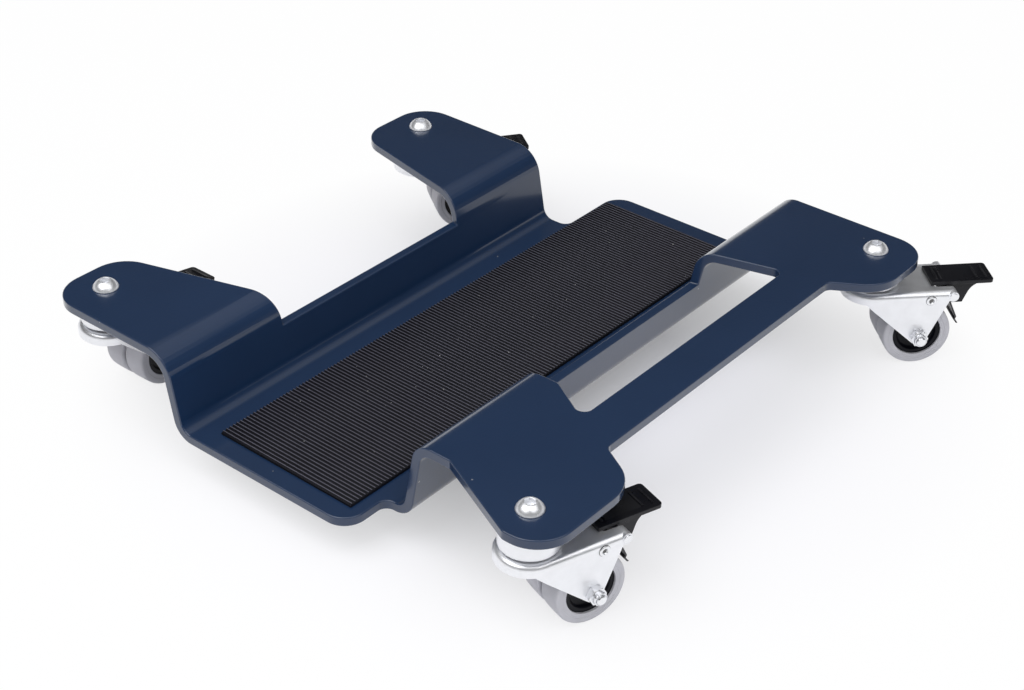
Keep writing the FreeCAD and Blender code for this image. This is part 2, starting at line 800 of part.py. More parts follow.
def build_pedal():
    """Mould the rocking pedal: a plate with grip bars, and a gusset with the pin's bore."""
    body = new_body("pedal")
    plate = rectangle("pedal_rear", "-pedal_width / 2", "pedal_front", "pedal_width / 2")
    plate_sketch = outline(body, "plate_outline", "XY_Plane", plate, "pedal_under")
    pad(body, "plate", plate_sketch, "pedal_sheet")
    fillet(body, "plate_corners", corner_edges(body, plate_sketch, [1, 2]), "pedal_corner")
    gusset = [
        ("pin_trail - pedal_hub", "pedal_under + gusset_sink"),
        ("pin_trail - pedal_hub", "pin_up - pin_thread"),
        ("gusset_rear", "gusset_low"),
        ("gusset_front", "gusset_low"),
        ("gusset_front + gusset_run", "pedal_under - 2 * gusset_lip"),
        ("pedal_front - pedal_corner", "pedal_under - gusset_lip"),
        ("pedal_front - pedal_corner", "pedal_under + gusset_sink"),
    ]
    gusset_sketch = outline(body, "gusset_outline", "XZ_Plane", gusset)
    pad(body, "gusset", gusset_sketch, "gusset_width", "Symmetric")
    fillet(body, "gusset_sweep", corner_edges(body, gusset_sketch, [4]), "gusset_curve")
    bars = new_sketch(body, "grip_bar_outlines", "XY_Plane", "pedal_under + pedal_sheet")
    for index in range(2):
        add_outline(bars, grip_bar(f"pedal_front - grip_inset - {index} * front_grip_pitch"))
        add_outline(bars, grip_bar(f"pedal_rear + grip_inset + grip_width + {index} * rear_grip_pitch"))
    doc.recompute()
    pad(body, "grip_bars", bars, "grip_rise")
    bore = [("pin_trail", "pin_up", "pin_thread + 2 * running_clearance")]
    pocket(body, "pin_bore", circles(body, "pin_bore_round", "XZ_Plane", bore))
    return body


def grip_bar(front):
    """Return the corners of a grip bar across the pedal."""
    half = "pedal_width / 2 - grip_inset"
    return rectangle(f"{front} - grip_width", f"-({half})", front, half)


def build_leaf():
    """Bend the brake leaf that hangs from the gusset, its shoe just clear of the tyres when pressed."""
    body = new_body("brake_leaf")
    reach = "(wheel_radius + brake_clearance)"
    back = f"(axle_trail + {reach} * cos(shoe_angle) - pin_trail)"
    down = f"(wheel_radius + {reach} * sin(shoe_angle) - pin_up)"
    shoe = f"pin_trail + {back} * cos(brake_angle) - {down} * sin(brake_angle)"
    shoe_up = f"pin_up + {back} * sin(brake_angle) + {down} * cos(brake_angle)"
    bends = [
        ("gusset_rear + leaf_set", "gusset_low"),
        (f"{shoe} + leaf_knee_run", f"{shoe_up} + leaf_knee_rise"),
        (shoe, shoe_up),
        (f"{shoe} + leaf_tip_run", f"{shoe_up} - leaf_tip_drop"),
    ]
    outside = [(f"{across} + leaf_sheet", up) for across, up in reversed(bends)]
    sketch = outline(body, "leaf_section", "XZ_Plane", bends + outside)
    pad(body, "leaf", sketch, "leaf_width", "Symmetric")
    return body


def build_cross_pin(name, thread, head, head_height):
    """Make a pin through both legs, with a round head outside each."""
    body = new_body(name)
    shank = circles(body, "shank_round", "XZ_Plane", [("0", "0", thread)])
    pad(body, "shank", shank, "fork_width", "Symmetric")
    near = circles(body, "near_head_round", "XZ_Plane", [("0", "0", head)], "fork_width / 2")
    pad(body, "near_head", near, head_height)
    far = circles(body, "far_head_round", "XZ_Plane", [("0", "0", head)], "-fork_width / 2")
    pad(body, "far_head", far, head_height, reverse=True)
    return body


def build_rivet():
    """Make the hollow-ended cross rivet that ties the legs together."""
    body = build_cross_pin("cross_rivet", "rivet_shank", "rivet_head", "rivet_head_height")
    face = "fork_width / 2 + rivet_head_height"
    dimple = circles(body, "near_dimple", "XZ_Plane", [("0", "0", "rivet_dimple")], face)
    pocket(body, "near_hollow", dimple, "rivet_head_height")
    return body


# Placing the pieces

def origin_across():
    """Return the place across the plate of the object's plan centre, which is the frame's origin."""
    right = "pedal_front * cos(far_right_swivel_angle) + pedal_width / 2 * sin(far_right_swivel_angle)"
    return f"({right} - left_ear_reach) / 2"


def origin_along():
    """Return the place along the plate of the object's plan centre."""
    reach = "pedal_front * sin(far_right_swivel_angle) + pedal_width / 2 * cos(far_right_swivel_angle)"
    return f"(near_screw + right_screw_gap + {reach}) / 2"


def move(item, across="0", along="0", up="0", turn="0", axis=FreeCAD.Vector(0, 0, 1)):
    """Tie an object's place and its turn about an axis to formulas."""
    item.Placement = FreeCAD.Placement(FreeCAD.Vector(), FreeCAD.Rotation(axis, 1.0))
    bind(item, Placement__Base__x=across, Placement__Base__y=along, Placement__Base__z=up)
    bind(item, Placement__Rotation__Angle=turn)


def group(name, members):
    """Return a compound of pieces that can be placed as one."""
    item = doc.addObject("Part::Compound", name)
    item.Links = members
    return item


def move_to_castor(item, castor):
    """Move an object modelled about a castor's screw to that castor, with its trail at rest."""
    across, along = screw_places()[castor]
    move(item, f"{across} - {origin_across()}", f"{along} - {origin_along()}", "0", castor + "_swivel_angle")


def add_node(label, members):
    """Add a sub-part that shows one or more pieces."""
    node = group(label, members)
    node.Label = label
    nodes.append(node)
    return node


def add_fasteners(label, piece):
    """Add one sub-part of four equal fasteners, one at each castor screw."""
    members = []
    for castor in CASTORS:
        member = group(f"{label}_{castor}", [piece])
        move_to_castor(member, castor)
        members.append(member)
    add_node(label, members)


def place_in_fork(name, piece, trail, height, turn="0"):
    """Return a piece moved to a cross axis of the fork."""
    item = group(name, [piece])
    move(item, trail, "0", height, turn)
    return item


def press_pedal(name, piece):
    """Return a pedal piece turned about the pin until the brake is on."""
    item = group(name, [piece])
    across = "pin_trail * (1 - cos(brake_angle)) - pin_up * sin(brake_angle)"
    up = "pin_up * (1 - cos(brake_angle)) + pin_trail * sin(brake_angle)"
    move(item, across, "0", up, "brake_angle", FreeCAD.Vector(0, 1, 0))
    return item


def castor_pieces():
    """Build every castor piece once, in its place about the castor's screw."""
    axle = ("axle_trail", "wheel_radius")
    hub = build_hub()
    tyre = build_tyre()
    pin = build_cross_pin("pedal_pin", "pin_thread", "pin_head", "pin_head_height")
    return {
        "top_race": build_race(),
        "ball_ring": build_ball_ring(),
        "fork": build_fork(),
        "axle_bolt": place_in_fork("bolt_in_fork", build_axle_bolt(), *axle),
        "axle_nut": place_in_fork("nut_on_fork", build_axle_nut(), *axle),
        "axle_sleeve": place_in_fork("sleeve_in_fork", build_sleeve(), *axle),
        "head_side_hub": place_in_fork("head_side_hub", hub, *axle),
        "head_side_tyre": place_in_fork("head_side_tyre", tyre, *axle),
        "nut_side_hub": place_in_fork("nut_side_hub", hub, *axle, "180"),
        "nut_side_tyre": place_in_fork("nut_side_tyre", tyre, *axle, "180"),
        "pedal": build_pedal(),
        "pedal_pin": place_in_fork("pin_in_fork", pin, "pin_trail", "pin_up"),
        "brake_leaf": build_leaf(),
        "cross_rivet": place_in_fork("rivet_in_fork", build_rivet(), "rivet_trail", "rivet_up"),
    }


def add_castors():
    """Add each castor's sub-parts, with the pedal down where the brake is on."""
    free = castor_pieces()
    braked = dict(free)
    for name in ("pedal", "brake_leaf"):
        braked[name] = press_pedal(f"pressed_{name}", free[name])
    for castor in CASTORS:
        pieces = braked if castor in BRAKED else free
        for name, piece in pieces.items():
            move_to_castor(add_node(f"{castor}_{name}", [piece]), castor)


def add_plate_and_mat():
    """Add the plate and the mat, moved so that the frame's origin is the object's plan centre."""
    for label, piece in (("bent_deck_plate", build_plate()), ("ribbed_rubber_mat", build_mat())):
        move(add_node(label, [piece]), f"-{origin_across()}", f"-{origin_along()}")


def build_all():
    """Build every piece and place it."""
    add_plate_and_mat()
    add_fasteners("castor_screws", build_screw())
    add_fasteners("castor_nuts", build_nut())
    add_castors()
    doc.recompute()


def check_all():
    """Stop if any object failed or any sub-part has no sound solid."""
    for item in doc.Objects:
        if "Invalid" in item.State or "Error" in item.State:
            raise RuntimeError(f"{item.Name} failed: {item.State}")
    for node in nodes:
        shape = node.Shape
        if shape.isNull() or not shape.isValid() or not shape.Solids:
            raise RuntimeError(f"{node.Label} has no sound solid")


def write_all():
    """Write each sub-part to its own file."""
    os.makedirs("parts", exist_ok=True)
    for node in nodes:
        node.Shape.exportStep(f"parts/{node.Label}.step")
    print(len(nodes), "sub-parts written")


build_all()
check_all()
write_all()
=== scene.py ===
"""Looks of the motorcycle mover: a folded navy plate with a ribbed mat on four braked castors."""
import logging
import math
from dataclasses import dataclass, field, replace
from enum import Enum
from functools import cache

import bmesh
import bpy
import numpy as np
from mathutils import Matrix, Vector


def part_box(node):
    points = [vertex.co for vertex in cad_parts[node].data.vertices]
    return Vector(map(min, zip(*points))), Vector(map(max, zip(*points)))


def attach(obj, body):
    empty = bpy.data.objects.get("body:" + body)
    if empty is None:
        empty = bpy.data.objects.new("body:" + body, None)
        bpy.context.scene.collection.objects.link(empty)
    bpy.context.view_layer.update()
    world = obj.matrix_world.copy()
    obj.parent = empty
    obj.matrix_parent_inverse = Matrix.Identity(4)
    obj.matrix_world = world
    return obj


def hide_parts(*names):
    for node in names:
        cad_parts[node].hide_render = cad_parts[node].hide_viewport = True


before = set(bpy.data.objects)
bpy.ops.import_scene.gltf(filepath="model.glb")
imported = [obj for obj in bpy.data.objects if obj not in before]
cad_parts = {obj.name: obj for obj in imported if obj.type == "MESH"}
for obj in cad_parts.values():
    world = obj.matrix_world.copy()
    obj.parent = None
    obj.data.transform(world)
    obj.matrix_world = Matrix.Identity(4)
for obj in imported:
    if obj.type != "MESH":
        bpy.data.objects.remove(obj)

LOG = logging.getLogger("motorcycle_mover")
MM = 0.001
FULL_TURN = 2 * math.pi
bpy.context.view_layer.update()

# Kinds of values
Socket = bpy.types.NodeSocket
Tree = bpy.types.NodeTree
Pair = tuple[float, float]
Triple = tuple[float, float, float]
Rows = tuple[tuple[float, ...], ...]
Shells = list[tuple[np.ndarray, bool]]

# Numbers of the Mix node's sockets for colours
MIX_FACTOR, MIX_FIRST, MIX_SECOND, MIX_RESULT = 0, 6, 7, 2

# Span of the mottle's noise, smoothest surface, and cover and grey of dust
MOTTLE_BAND = (0.3, 0.7)
LEAST_ROUGHNESS = 0.02
DUST_COVER = 0.55
DUST_LEVEL = 0.42

# Lengths in metres within which points are one
GRID_MERGE = 1e-6
SOLID_MERGE = 2e-6

# Angles in degrees: of faces taken as flat, of edges to break and of edges to keep sharp
FLAT_ANGLE = 0.4
EDGE_ANGLE = 34.0
GRID_SHARP = 40.0

# Share of a side that the rounding of one corner may take
SIDE_SHARE = 0.48


class Slot(Enum):
    """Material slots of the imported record."""

    PAINT = "navy_powder_coat"
    MAT = "mat_rubber"
    ZINC = "zinc"
    DARK_STEEL = "dark_steel"
    PLASTIC = "black_plastic"
    BLACK_STEEL = "black_steel"
    TREAD = "grey_tread"


class WheelSide(Enum):
    """Sides of a fork, with the sign of their place along the axle."""

    HEAD = 1.0
    NUT = -1.0

    @property
    def label(self) -> str:
        """Return the side's share of a piece's name."""
        return f"{self.name.lower()}_side"


# Shader helpers

def add_node(tree: Tree, kind: str, inputs: dict | None = None,
             **settings: object) -> bpy.types.Node:
    """Add a node, set its options, and fill or link its inputs.

    Args:
        tree: the tree that the node joins.
        kind: the node's type name.
        inputs: values or sockets by input name or number.
        settings: properties of the node.

    Returns:
        The new node.
    """
    node = tree.nodes.new(kind)
    for name, value in settings.items():
        setattr(node, name, value)
    for name, value in (inputs or {}).items():
        if isinstance(value, Socket):
            tree.links.new(value, node.inputs[name])
        else:
            node.inputs[name].default_value = value
    return node


def math_node(tree: Tree, operation: str, first: object, second: object = 0.0) -> Socket:
    """Return the output of a math node on two numbers or sockets."""
    inputs = {0: first, 1: second}
    return add_node(tree, "ShaderNodeMath", inputs, operation=operation).outputs[0]


def mix_colour(tree: Tree, factor: object, first: object, second: object) -> Socket:
    """Return a mix of two colours, with the factor as the share of the second."""
    inputs = {MIX_FACTOR: factor, MIX_FIRST: first, MIX_SECOND: second}
    return add_node(tree, "ShaderNodeMix", inputs, data_type="RGBA").outputs[MIX_RESULT]


def map_range(tree: Tree, value: Socket, low: float, high: float,
              to_low: float, to_high: float) -> Socket:
    """Return a value moved from one range to another, held at its ends.

    Args:
        tree: the tree that the node joins.
        value: the value's socket.
        low: value that becomes to_low.
        high: value that becomes to_high.
        to_low: result at low.
        to_high: result at high.

    Returns:
        The result's socket.
    """
    inputs = {"Value": value, "From Min": low, "From Max": high, "To Min": to_low,
              "To Max": to_high}
    return add_node(tree, "ShaderNodeMapRange", inputs, clamp=True).outputs["Result"]


def grey(level: float) -> tuple[float, float, float, float]:
    """Return a neutral colour of one level."""
    return (level, level, level, 1.0)


class EffectLibrary:
    """Shader groups for effects that several finishes share, each built once."""

    wear_noise: Pair = (0.4, 0.6)
    wear_share: Pair = (0.2, 1.0)

    def __init__(self) -> None:
        """Build every group."""
        self.dust = self._dust_specks()
        self.grain = self._surface_grain()
        self.wear = self._edge_wear()

    @staticmethod
    def _group(name: str, inputs: dict[str, float],
               outputs: tuple[str, ...]) -> tuple[Tree, dict, dict]:
        """Make an empty group that reads Object coordinates.

        Args:
            name: the group's name.
            inputs: names and defaults of its numbers.
            outputs: names of its values.

        Returns:
            The group, its input sockets with the coordinates under "Place", and its output
            node's sockets.
        """
        tree = bpy.data.node_groups.new(name, "ShaderNodeTree")
        for label, default in inputs.items():
            socket = tree.interface.new_socket(label, in_out="INPUT",
                                               socket_type="NodeSocketFloat")
            socket.default_value = default
        for label in outputs:
            tree.interface.new_socket(label, in_out="OUTPUT", socket_type="NodeSocketFloat")
        entry = tree.nodes.new("NodeGroupInput").outputs
        sources = {item.name: item for item in entry if item.name}
        sources["Place"] = tree.nodes.new("ShaderNodeTexCoord").outputs["Object"]
        leaving = tree.nodes.new("NodeGroupOutput").inputs
        targets = {item.name: item for item in leaving if item.name}
        return tree, sources, targets

    def _dust_specks(self) -> Tree:
        """Build round specks of dust: lattice cells whose centres are near, thinned by chance.

        Returns:
            The group.
        """
        inputs = {"Scale": 60.0, "Radius": 0.06, "Share": 0.2}
        tree, source, target = self._group("dust_specks", inputs, ("Mask",))
        lattice = {"Vector": source["Place"], "Scale": source["Scale"]}
        cells = add_node(tree, "ShaderNodeTexVoronoi", lattice).outputs
        chance = add_node(tree, "ShaderNodeSeparateColor", {"Color": cells["Color"]}).outputs
        chosen = math_node(tree, "LESS_THAN", chance["Red"], source["Share"])
        size = math_node(tree, "MULTIPLY", source["Radius"], chance["Green"])
        near = math_node(tree, "LESS_THAN", cells["Distance"], size)
        tree.links.new(math_node(tree, "MULTIPLY", near, chosen), target["Mask"])
        return tree

    def _surface_grain(self) -> Tree:
        """Build a fine grain and a broad mottle from two noises.

        Returns:
            The group.
        """
        inputs = {"Grain Scale": 900.0, "Mottle Scale": 30.0}
        tree, source, target = self._group("surface_grain", inputs, ("Height", "Mottle"))
        fine = {"Scale": source["Grain Scale"], "Detail": 3.0, "Roughness": 0.55}
        broad = {"Scale": source["Mottle Scale"], "Detail": 4.0, "Roughness": 0.6}
        for values, name in ((fine, "Height"), (broad, "Mottle")):
            noise = add_node(tree, "ShaderNodeTexNoise", {"Vector": source["Place"], **values})
            tree.links.new(noise.outputs[0], target[name])
        return tree

    def _edge_wear(self) -> Tree:
        """Build a mask of rubbed edges: convex places, broken up by a noise.

        Returns:
            The group.
        """
        inputs = {"Start": 0.53, "End": 0.6, "Scale": 120.0}
        tree, source, target = self._group("edge_wear", inputs, ("Mask",))
        convex = tree.nodes.new("ShaderNodeNewGeometry").outputs["Pointiness"]
        span = math_node(tree, "SUBTRACT", source["End"], source["Start"])
        over = math_node(tree, "SUBTRACT", convex, source["Start"])
        ratio = math_node(tree, "DIVIDE", over, span)
        share = add_node(tree, "ShaderNodeClamp", {"Value": ratio}).outputs[0]
        patches = {"Vector": source["Place"], "Scale": source["Scale"]}
        noise = add_node(tree, "ShaderNodeTexNoise", patches).outputs[0]
        broken = map_range(tree, noise, *self.wear_noise, *self.wear_share)
        tree.links.new(math_node(tree, "MULTIPLY", share, broken), target["Mask"])
        return tree


def grouped(tree: Tree, group: Tree, inputs: dict[str, float]) -> bpy.types.NodeOutputs:
    """Return the outputs of a group that is placed in a material with its own values."""
    return add_node(tree, "ShaderNodeGroup", inputs, node_tree=group).outputs


EFFECTS = EffectLibrary()


@dataclass(frozen=True)
class Finish:
    """A surface finish: its slot, its plain values and the nodes that vary them."""

    slot: Slot
    colour: Triple
    roughness: float
    metallic: float = 0.0
    specular: float = 0.5
    coat: float = 0.0
    coat_roughness: float = 0.05
    grain_scale: float = 900.0
    mottle_scale: float = 30.0
    bump: float = 0.0
    mottle: float = 0.1
    rough_spread: float = 0.05
    dust: float = 0.0
    dust_scale: float = 90.0
    dust_radius: float = 0.06
    wear: float = 0.0
    wear_colour: Triple = (0.3, 0.3, 0.32)
    variant: str = ""

    def material(self) -> bpy.types.Material:
        """Build the finish's material.

        Returns:
            The material, with its surface nodes linked.
        """
        made = bpy.data.materials.new(self.slot.value + self.variant)
        made.use_nodes = True
        tree = made.node_tree
        surface = tree.nodes["Principled BSDF"].inputs
        plain = {"Metallic": self.metallic, "Specular IOR Level": self.specular,
                 "Coat Weight": self.coat, "Coat Roughness": self.coat_roughness}
        for name, value in plain.items():
            surface[name].default_value = value
        scales = {"Grain Scale": self.grain_scale, "Mottle Scale": self.mottle_scale}
        grain = grouped(tree, EFFECTS.grain, scales)
        colour = self._colour(tree, grain["Mottle"])
        tree.links.new(self._worn(tree, colour), surface["Base Color"])
        low = max(self.roughness - self.rough_spread, LEAST_ROUGHNESS)
        high = self.roughness + self.rough_spread
        rough = map_range(tree, grain["Mottle"], *MOTTLE_BAND, low, high)
        tree.links.new(rough, surface["Roughness"])
        if self.bump:
            inputs = {"Height": grain["Height"], "Strength": self.bump, "Distance": MM}
            bump = add_node(tree, "ShaderNodeBump", inputs)
            tree.links.new(bump.outputs["Normal"], surface["Normal"])
        return made

    def _colour(self, tree: Tree, mottle: Socket) -> Socket:
        """Vary the plain colour by the mottle.

        Args:
            tree: the material's tree.
            mottle: a noise between 0 and 1.

        Returns:
            The colour's socket.
        """
        dark = tuple(level * (1 - self.mottle) for level in self.colour) + (1.0,)
        light = tuple(min(level * (1 + self.mottle), 1.0) for level in self.colour) + (1.0,)
        return mix_colour(tree, map_range(tree, mottle, *MOTTLE_BAND, 0.0, 1.0), dark, light)

    def _worn(self, tree: Tree, colour: Socket) -> Socket:
        """Lay edge wear and dust over a colour.

        Args:
            tree: the material's tree.
            colour: the clean colour.

        Returns:
            The colour's socket.
        """
        if self.wear:
            mask = grouped(tree, EFFECTS.wear, {})["Mask"]
            share = math_node(tree, "MULTIPLY", mask, self.wear)
            colour = mix_colour(tree, share, colour, (*self.wear_colour, 1.0))
        if self.dust:
            values = {"Scale": self.dust_scale, "Radius": self.dust_radius, "Share": self.dust}
            mask = grouped(tree, EFFECTS.dust, values)["Mask"]
            share = math_node(tree, "MULTIPLY", mask, DUST_COVER)
            colour = mix_colour(tree, share, colour, grey(DUST_LEVEL))
        return colour


@dataclass(frozen=True)
class RubberFinish(Finish):
    """Ribbed rubber with a painted highlight: greyer on the rib crests than in the grooves, by
    height in metres.
    """

    groove: float = 0.0384
    crest: float = 0.0387
    # Grey of the painted highlight that stands in for the glint along the rib crests
    crest_highlight_colour: Triple = (0.105, 0.105, 0.135)

    def _colour(self, tree: Tree, mottle: Socket) -> Socket:
        """Blend from the groove's black to a painted highlight on the crest by height.

        Args:
            tree: the material's tree.
            mottle: a noise between 0 and 1.

        Returns:
            The colour's socket.
        """
        plain = super()._colour(tree, mottle)
        place = tree.nodes.new("ShaderNodeTexCoord").outputs["Object"]
        height = add_node(tree, "ShaderNodeSeparateXYZ", {"Vector": place}).outputs["Z"]
        # Painted highlight: the crests turn grey by height, the grooves stay black
        share = map_range(tree, height, self.groove, self.crest, 0.0, 1.0)
        return mix_colour(tree, share, plain, (*self.crest_highlight_colour, 1.0))


PAINT = Finish(
    Slot.PAINT, (0.0085, 0.026, 0.071), 0.32, specular=0.2, coat=1.0, coat_roughness=0.1,
    grain_scale=420.0, mottle_scale=9.0, bump=0.05, mottle=0.06, rough_spread=0.03, dust=0.03,
    dust_scale=120.0, dust_radius=0.1, wear=0.12, wear_colour=(0.12, 0.14, 0.22))
RUBBER = RubberFinish(
    Slot.MAT, (0.004, 0.004, 0.007), 0.6, specular=0.2, grain_scale=1500.0, mottle_scale=25.0,
    bump=0.15, mottle=0.25, dust=0.12, dust_scale=200.0, dust_radius=0.14)
ZINC = Finish(
    Slot.ZINC, (0.89, 0.90, 0.93), 0.28, metallic=1.0, grain_scale=600.0, mottle_scale=70.0,
    bump=0.02, mottle=0.04, rough_spread=0.04)
SATIN_ZINC = replace(ZINC, roughness=0.36, metallic=0.85, variant="_satin")
MILKY_ZINC = replace(ZINC, roughness=0.33, metallic=0.78, variant="_milky")
DARK_STEEL = Finish(
    Slot.DARK_STEEL, (0.16, 0.16, 0.16), 0.35, metallic=1.0, bump=0.05, mottle=0.15)
PLASTIC = Finish(
    Slot.PLASTIC, (0.0018, 0.0020, 0.0045), 0.3, specular=0.3, grain_scale=2200.0, bump=0.06,
    mottle=0.12, dust=0.03, dust_scale=200.0, wear=0.4, wear_colour=(0.05, 0.05, 0.055))
HUB_PLASTIC = replace(
    PLASTIC, colour=(0.0026, 0.0028, 0.0058), roughness=0.34, specular=0.14, wear=0.25,
    variant="_hub")
BLACK_STEEL = Finish(
    Slot.BLACK_STEEL, (0.008, 0.008, 0.010), 0.33, specular=0.4, bump=0.06, mottle=0.12,
    wear=0.5)
TREAD = Finish(
    Slot.TREAD, (0.49, 0.49, 0.52), 0.5, grain_scale=1300.0, mottle_scale=40.0, bump=0.1,
    mottle=0.07, dust=0.04, dust_scale=260.0)


@cache
def painted(finish: Finish) -> bpy.types.Material:
    """Return a finish's material, made the first time."""
    return finish.material()


# Surfaces

def soften(rows: Rows | np.ndarray, steps: int = 5, closed: bool = True) -> np.ndarray:
    """Round the corners of an outline.

    At each corner P the curve (1-s)^2 A + 2 s (1-s) P + s^2 C runs from A to C, the points at
    the corner's reach from P along its two sides, kept under half of each side.

    Args:
        rows: radius, place along the axis and reach of each corner.
        steps: points on each rounding.
        closed: whether the last corner joins the first.

    Returns:
        The rounded outline's points.
    """
    table = np.asarray(rows, float)
    corners = table[:, :2]
    before = np.roll(corners, 1, axis=0) - corners
    after = np.roll(corners, -1, axis=0) - corners
    long_before = np.linalg.norm(before, axis=1)
    long_after = np.linalg.norm(after, axis=1)
    cut = np.minimum(table[:, 2], SIDE_SHARE * np.minimum(long_before, long_after))
    if not closed:
        cut[[0, -1]] = 0.0
    start = (corners + before * (cut / long_before)[:, None])[:, None]
    end = (corners + after * (cut / long_after)[:, None])[:, None]
    s = np.linspace(0.0, 1.0, steps)[None, :, None]
    curve = (1 - s) ** 2 * start + 2 * s * (1 - s) * corners[:, None] + s ** 2 * end
    return curve.reshape(-1, 2)


def round_turns(columns: int) -> np.ndarray:
    """Return the turns of a grid's columns: even steps round the axis."""
    return np.linspace(0.0, FULL_TURN, columns, endpoint=False)


def hexagon_radius(columns: int, flats: float) -> np.ndarray:
    """Return a hexagon's radius: half its width over the cosine of the turn from mid flat."""
    sixth = math.pi / 3
    return flats / 2 / np.cos(np.mod(round_turns(columns), sixth) - sixth / 2)


def thread_radius(height: np.ndarray, columns: int, outer: float, pitch: float,
                  depth: float) -> np.ndarray:
    """Return a thread's radius: the outer one less the depth times a triangle wave on a helix.

    With u the fraction of h / pitch - t / (2 pi), the wave is |2 u - 1|.

    Args:
        height: height h of each row.
        columns: columns of the grid, each at its turn t.
        outer: the thread's outer radius.
        pitch: rise of the helix in a turn.
        depth: the thread's depth.

    Returns:
        Radius by row and column.
    """
    climb = height[:, None] / pitch - round_turns(columns) / FULL_TURN
    return outer - depth * np.abs(2 * np.mod(climb, 1.0) - 1)


def rings(radii: list[float] | np.ndarray, columns: int) -> np.ndarray:
    """Return round rows, each of one radius."""
    return np.broadcast_to(np.asarray(radii, float)[:, None], (len(radii), columns))


def turned(radius: np.ndarray, height: list[float] | np.ndarray) -> np.ndarray:
    """Turn rows about the upright axis: (r cos t, r sin t, h).

    Args:
        radius: radius by row and column.
        height: height of each row.

    Returns:
        Points by row and column.
    """
    turn = round_turns(radius.shape[1])
    height = np.broadcast_to(np.asarray(height, float)[:, None], radius.shape)
    return np.stack([radius * np.cos(turn), radius * np.sin(turn), height], axis=-1)


def turned_profile(profile: np.ndarray, columns: int) -> np.ndarray:
    """Turn a profile of radius and height about the upright axis."""
    return turned(rings(profile[:, 0], columns), profile[:, 1])


def lay_across(points: np.ndarray) -> np.ndarray:
    """Turn points from an upright axis to a cross axis: (x, y, h) becomes (x, h, y)."""
    return points[..., [0, 2, 1]]


def quads(rows: int, columns: int, loop: bool) -> np.ndarray:
    """Return the corner numbers of a grid's faces, closed round its columns.

    Args:
        rows: rows of the grid.
        columns: columns of the grid.
        loop: whether the last row joins the first.

    Returns:
        Four corner numbers per face.
    """
    number = np.arange(rows * columns).reshape(rows, columns)
    beside = np.roll(number, -1, axis=1)
    corners = [number, beside, np.roll(beside, -1, axis=0), np.roll(number, -1, axis=0)]
    faces = np.stack(corners, axis=-1)
    return (faces if loop else faces[:-1]).reshape(-1, 4)


def shell_mesh(name: str, shells: Shells, sharp: float = GRID_SHARP) -> bpy.types.Mesh:
    """Make one mesh of grids of points.

    Args:
        name: the mesh's name.
        shells: each grid of points by row and column, with whether its last row joins its first.
        sharp: angle in degrees over which an edge stays sharp.

    Returns:
        The mesh, with doubles merged and faces turned outwards.
    """
    points: list[np.ndarray] = []
    faces: list[np.ndarray] = []
    offset = 0
    for grid, loop in shells:
        rows, columns = grid.shape[:2]
        points.append(grid.reshape(-1, 3))
        faces.append(quads(rows, columns, loop) + offset)
        offset += rows * columns
    mesh = bpy.data.meshes.new(name)
    mesh.from_pydata(np.concatenate(points).tolist(), [], np.concatenate(faces).tolist())
    shape = bmesh.new()
    shape.from_mesh(mesh)
    bmesh.ops.remove_doubles(shape, verts=shape.verts, dist=GRID_MERGE)
    bmesh.ops.recalc_face_normals(shape, faces=shape.faces)
    shape.to_mesh(mesh)
    shape.free()
    smooth(mesh, sharp)
    return mesh


def smooth(mesh: bpy.types.Mesh, sharp: float) -> None:
    """Shade a mesh smooth, apart from edges over an angle in degrees."""
    mesh.polygons.foreach_set("use_smooth", np.ones(len(mesh.polygons), bool))
    mesh.set_sharp_from_angle(angle=math.radians(sharp))


def add_piece(name: str, mesh: bpy.types.Mesh, body: str, finish: Finish,
              *nodes: str) -> bpy.types.Object:
    """Add a finished piece to the scene.

    Args:
        name: the piece's name.
        mesh: its mesh, in place.
        body: the body that it rides on.
        finish: its finish.
        nodes: the solids that it stands for.

    Returns:
        The piece.
    """
    piece = bpy.data.objects.new(name, mesh)
    bpy.context.scene.collection.objects.link(piece)
    mesh.materials.clear()
    mesh.materials.append(painted(finish))
    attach(piece, body)
    if nodes:
        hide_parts(*nodes)
    LOG.info("%s rides on %s", name, body)
    return piece


def dress_node(node: str, finish: Finish) -> None:
    """Give a solid that stays in view its finish.

    Args:
        node: the solid's name.
        finish: its finish.
    """
    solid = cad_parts[node]
    solid.data.materials.clear()
    solid.data.materials.append(painted(finish))
    LOG.info("%s keeps its solid", node)


def rounded_copy(name: str, node: str, body: str, finish: Finish, width: float,
                 segments: int) -> None:
    """Copy a solid with its doubles merged, its flat faces whole and its edges broken.

    Args:
        name: the piece's name.
        node: the solid.
        body: the body that it rides on.
        finish: its finish.
        width: width of the broken edges in metres.
        segments: faces across a broken edge.
    """
    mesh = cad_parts[node].data.copy()
    mesh.name = name
    shape = bmesh.new()
    shape.from_mesh(mesh)
    bmesh.ops.remove_doubles(shape, verts=shape.verts, dist=SOLID_MERGE)
    bmesh.ops.dissolve_limit(shape, angle_limit=math.radians(FLAT_ANGLE), verts=shape.verts,
                             edges=shape.edges)
    shape.to_mesh(mesh)
    shape.free()
    smooth(mesh, EDGE_ANGLE)
    piece = add_piece(name, mesh, body, finish, node)
    bevel = piece.modifiers.new("broken_edges", "BEVEL")
    bevel.width = width
    bevel.segments = segments
    bevel.limit_method = "ANGLE"
    bevel.angle_limit = math.radians(EDGE_ANGLE)
    bevel.use_clamp_overlap = True
    bevel.harden_normals = True


# Sub-assemblies

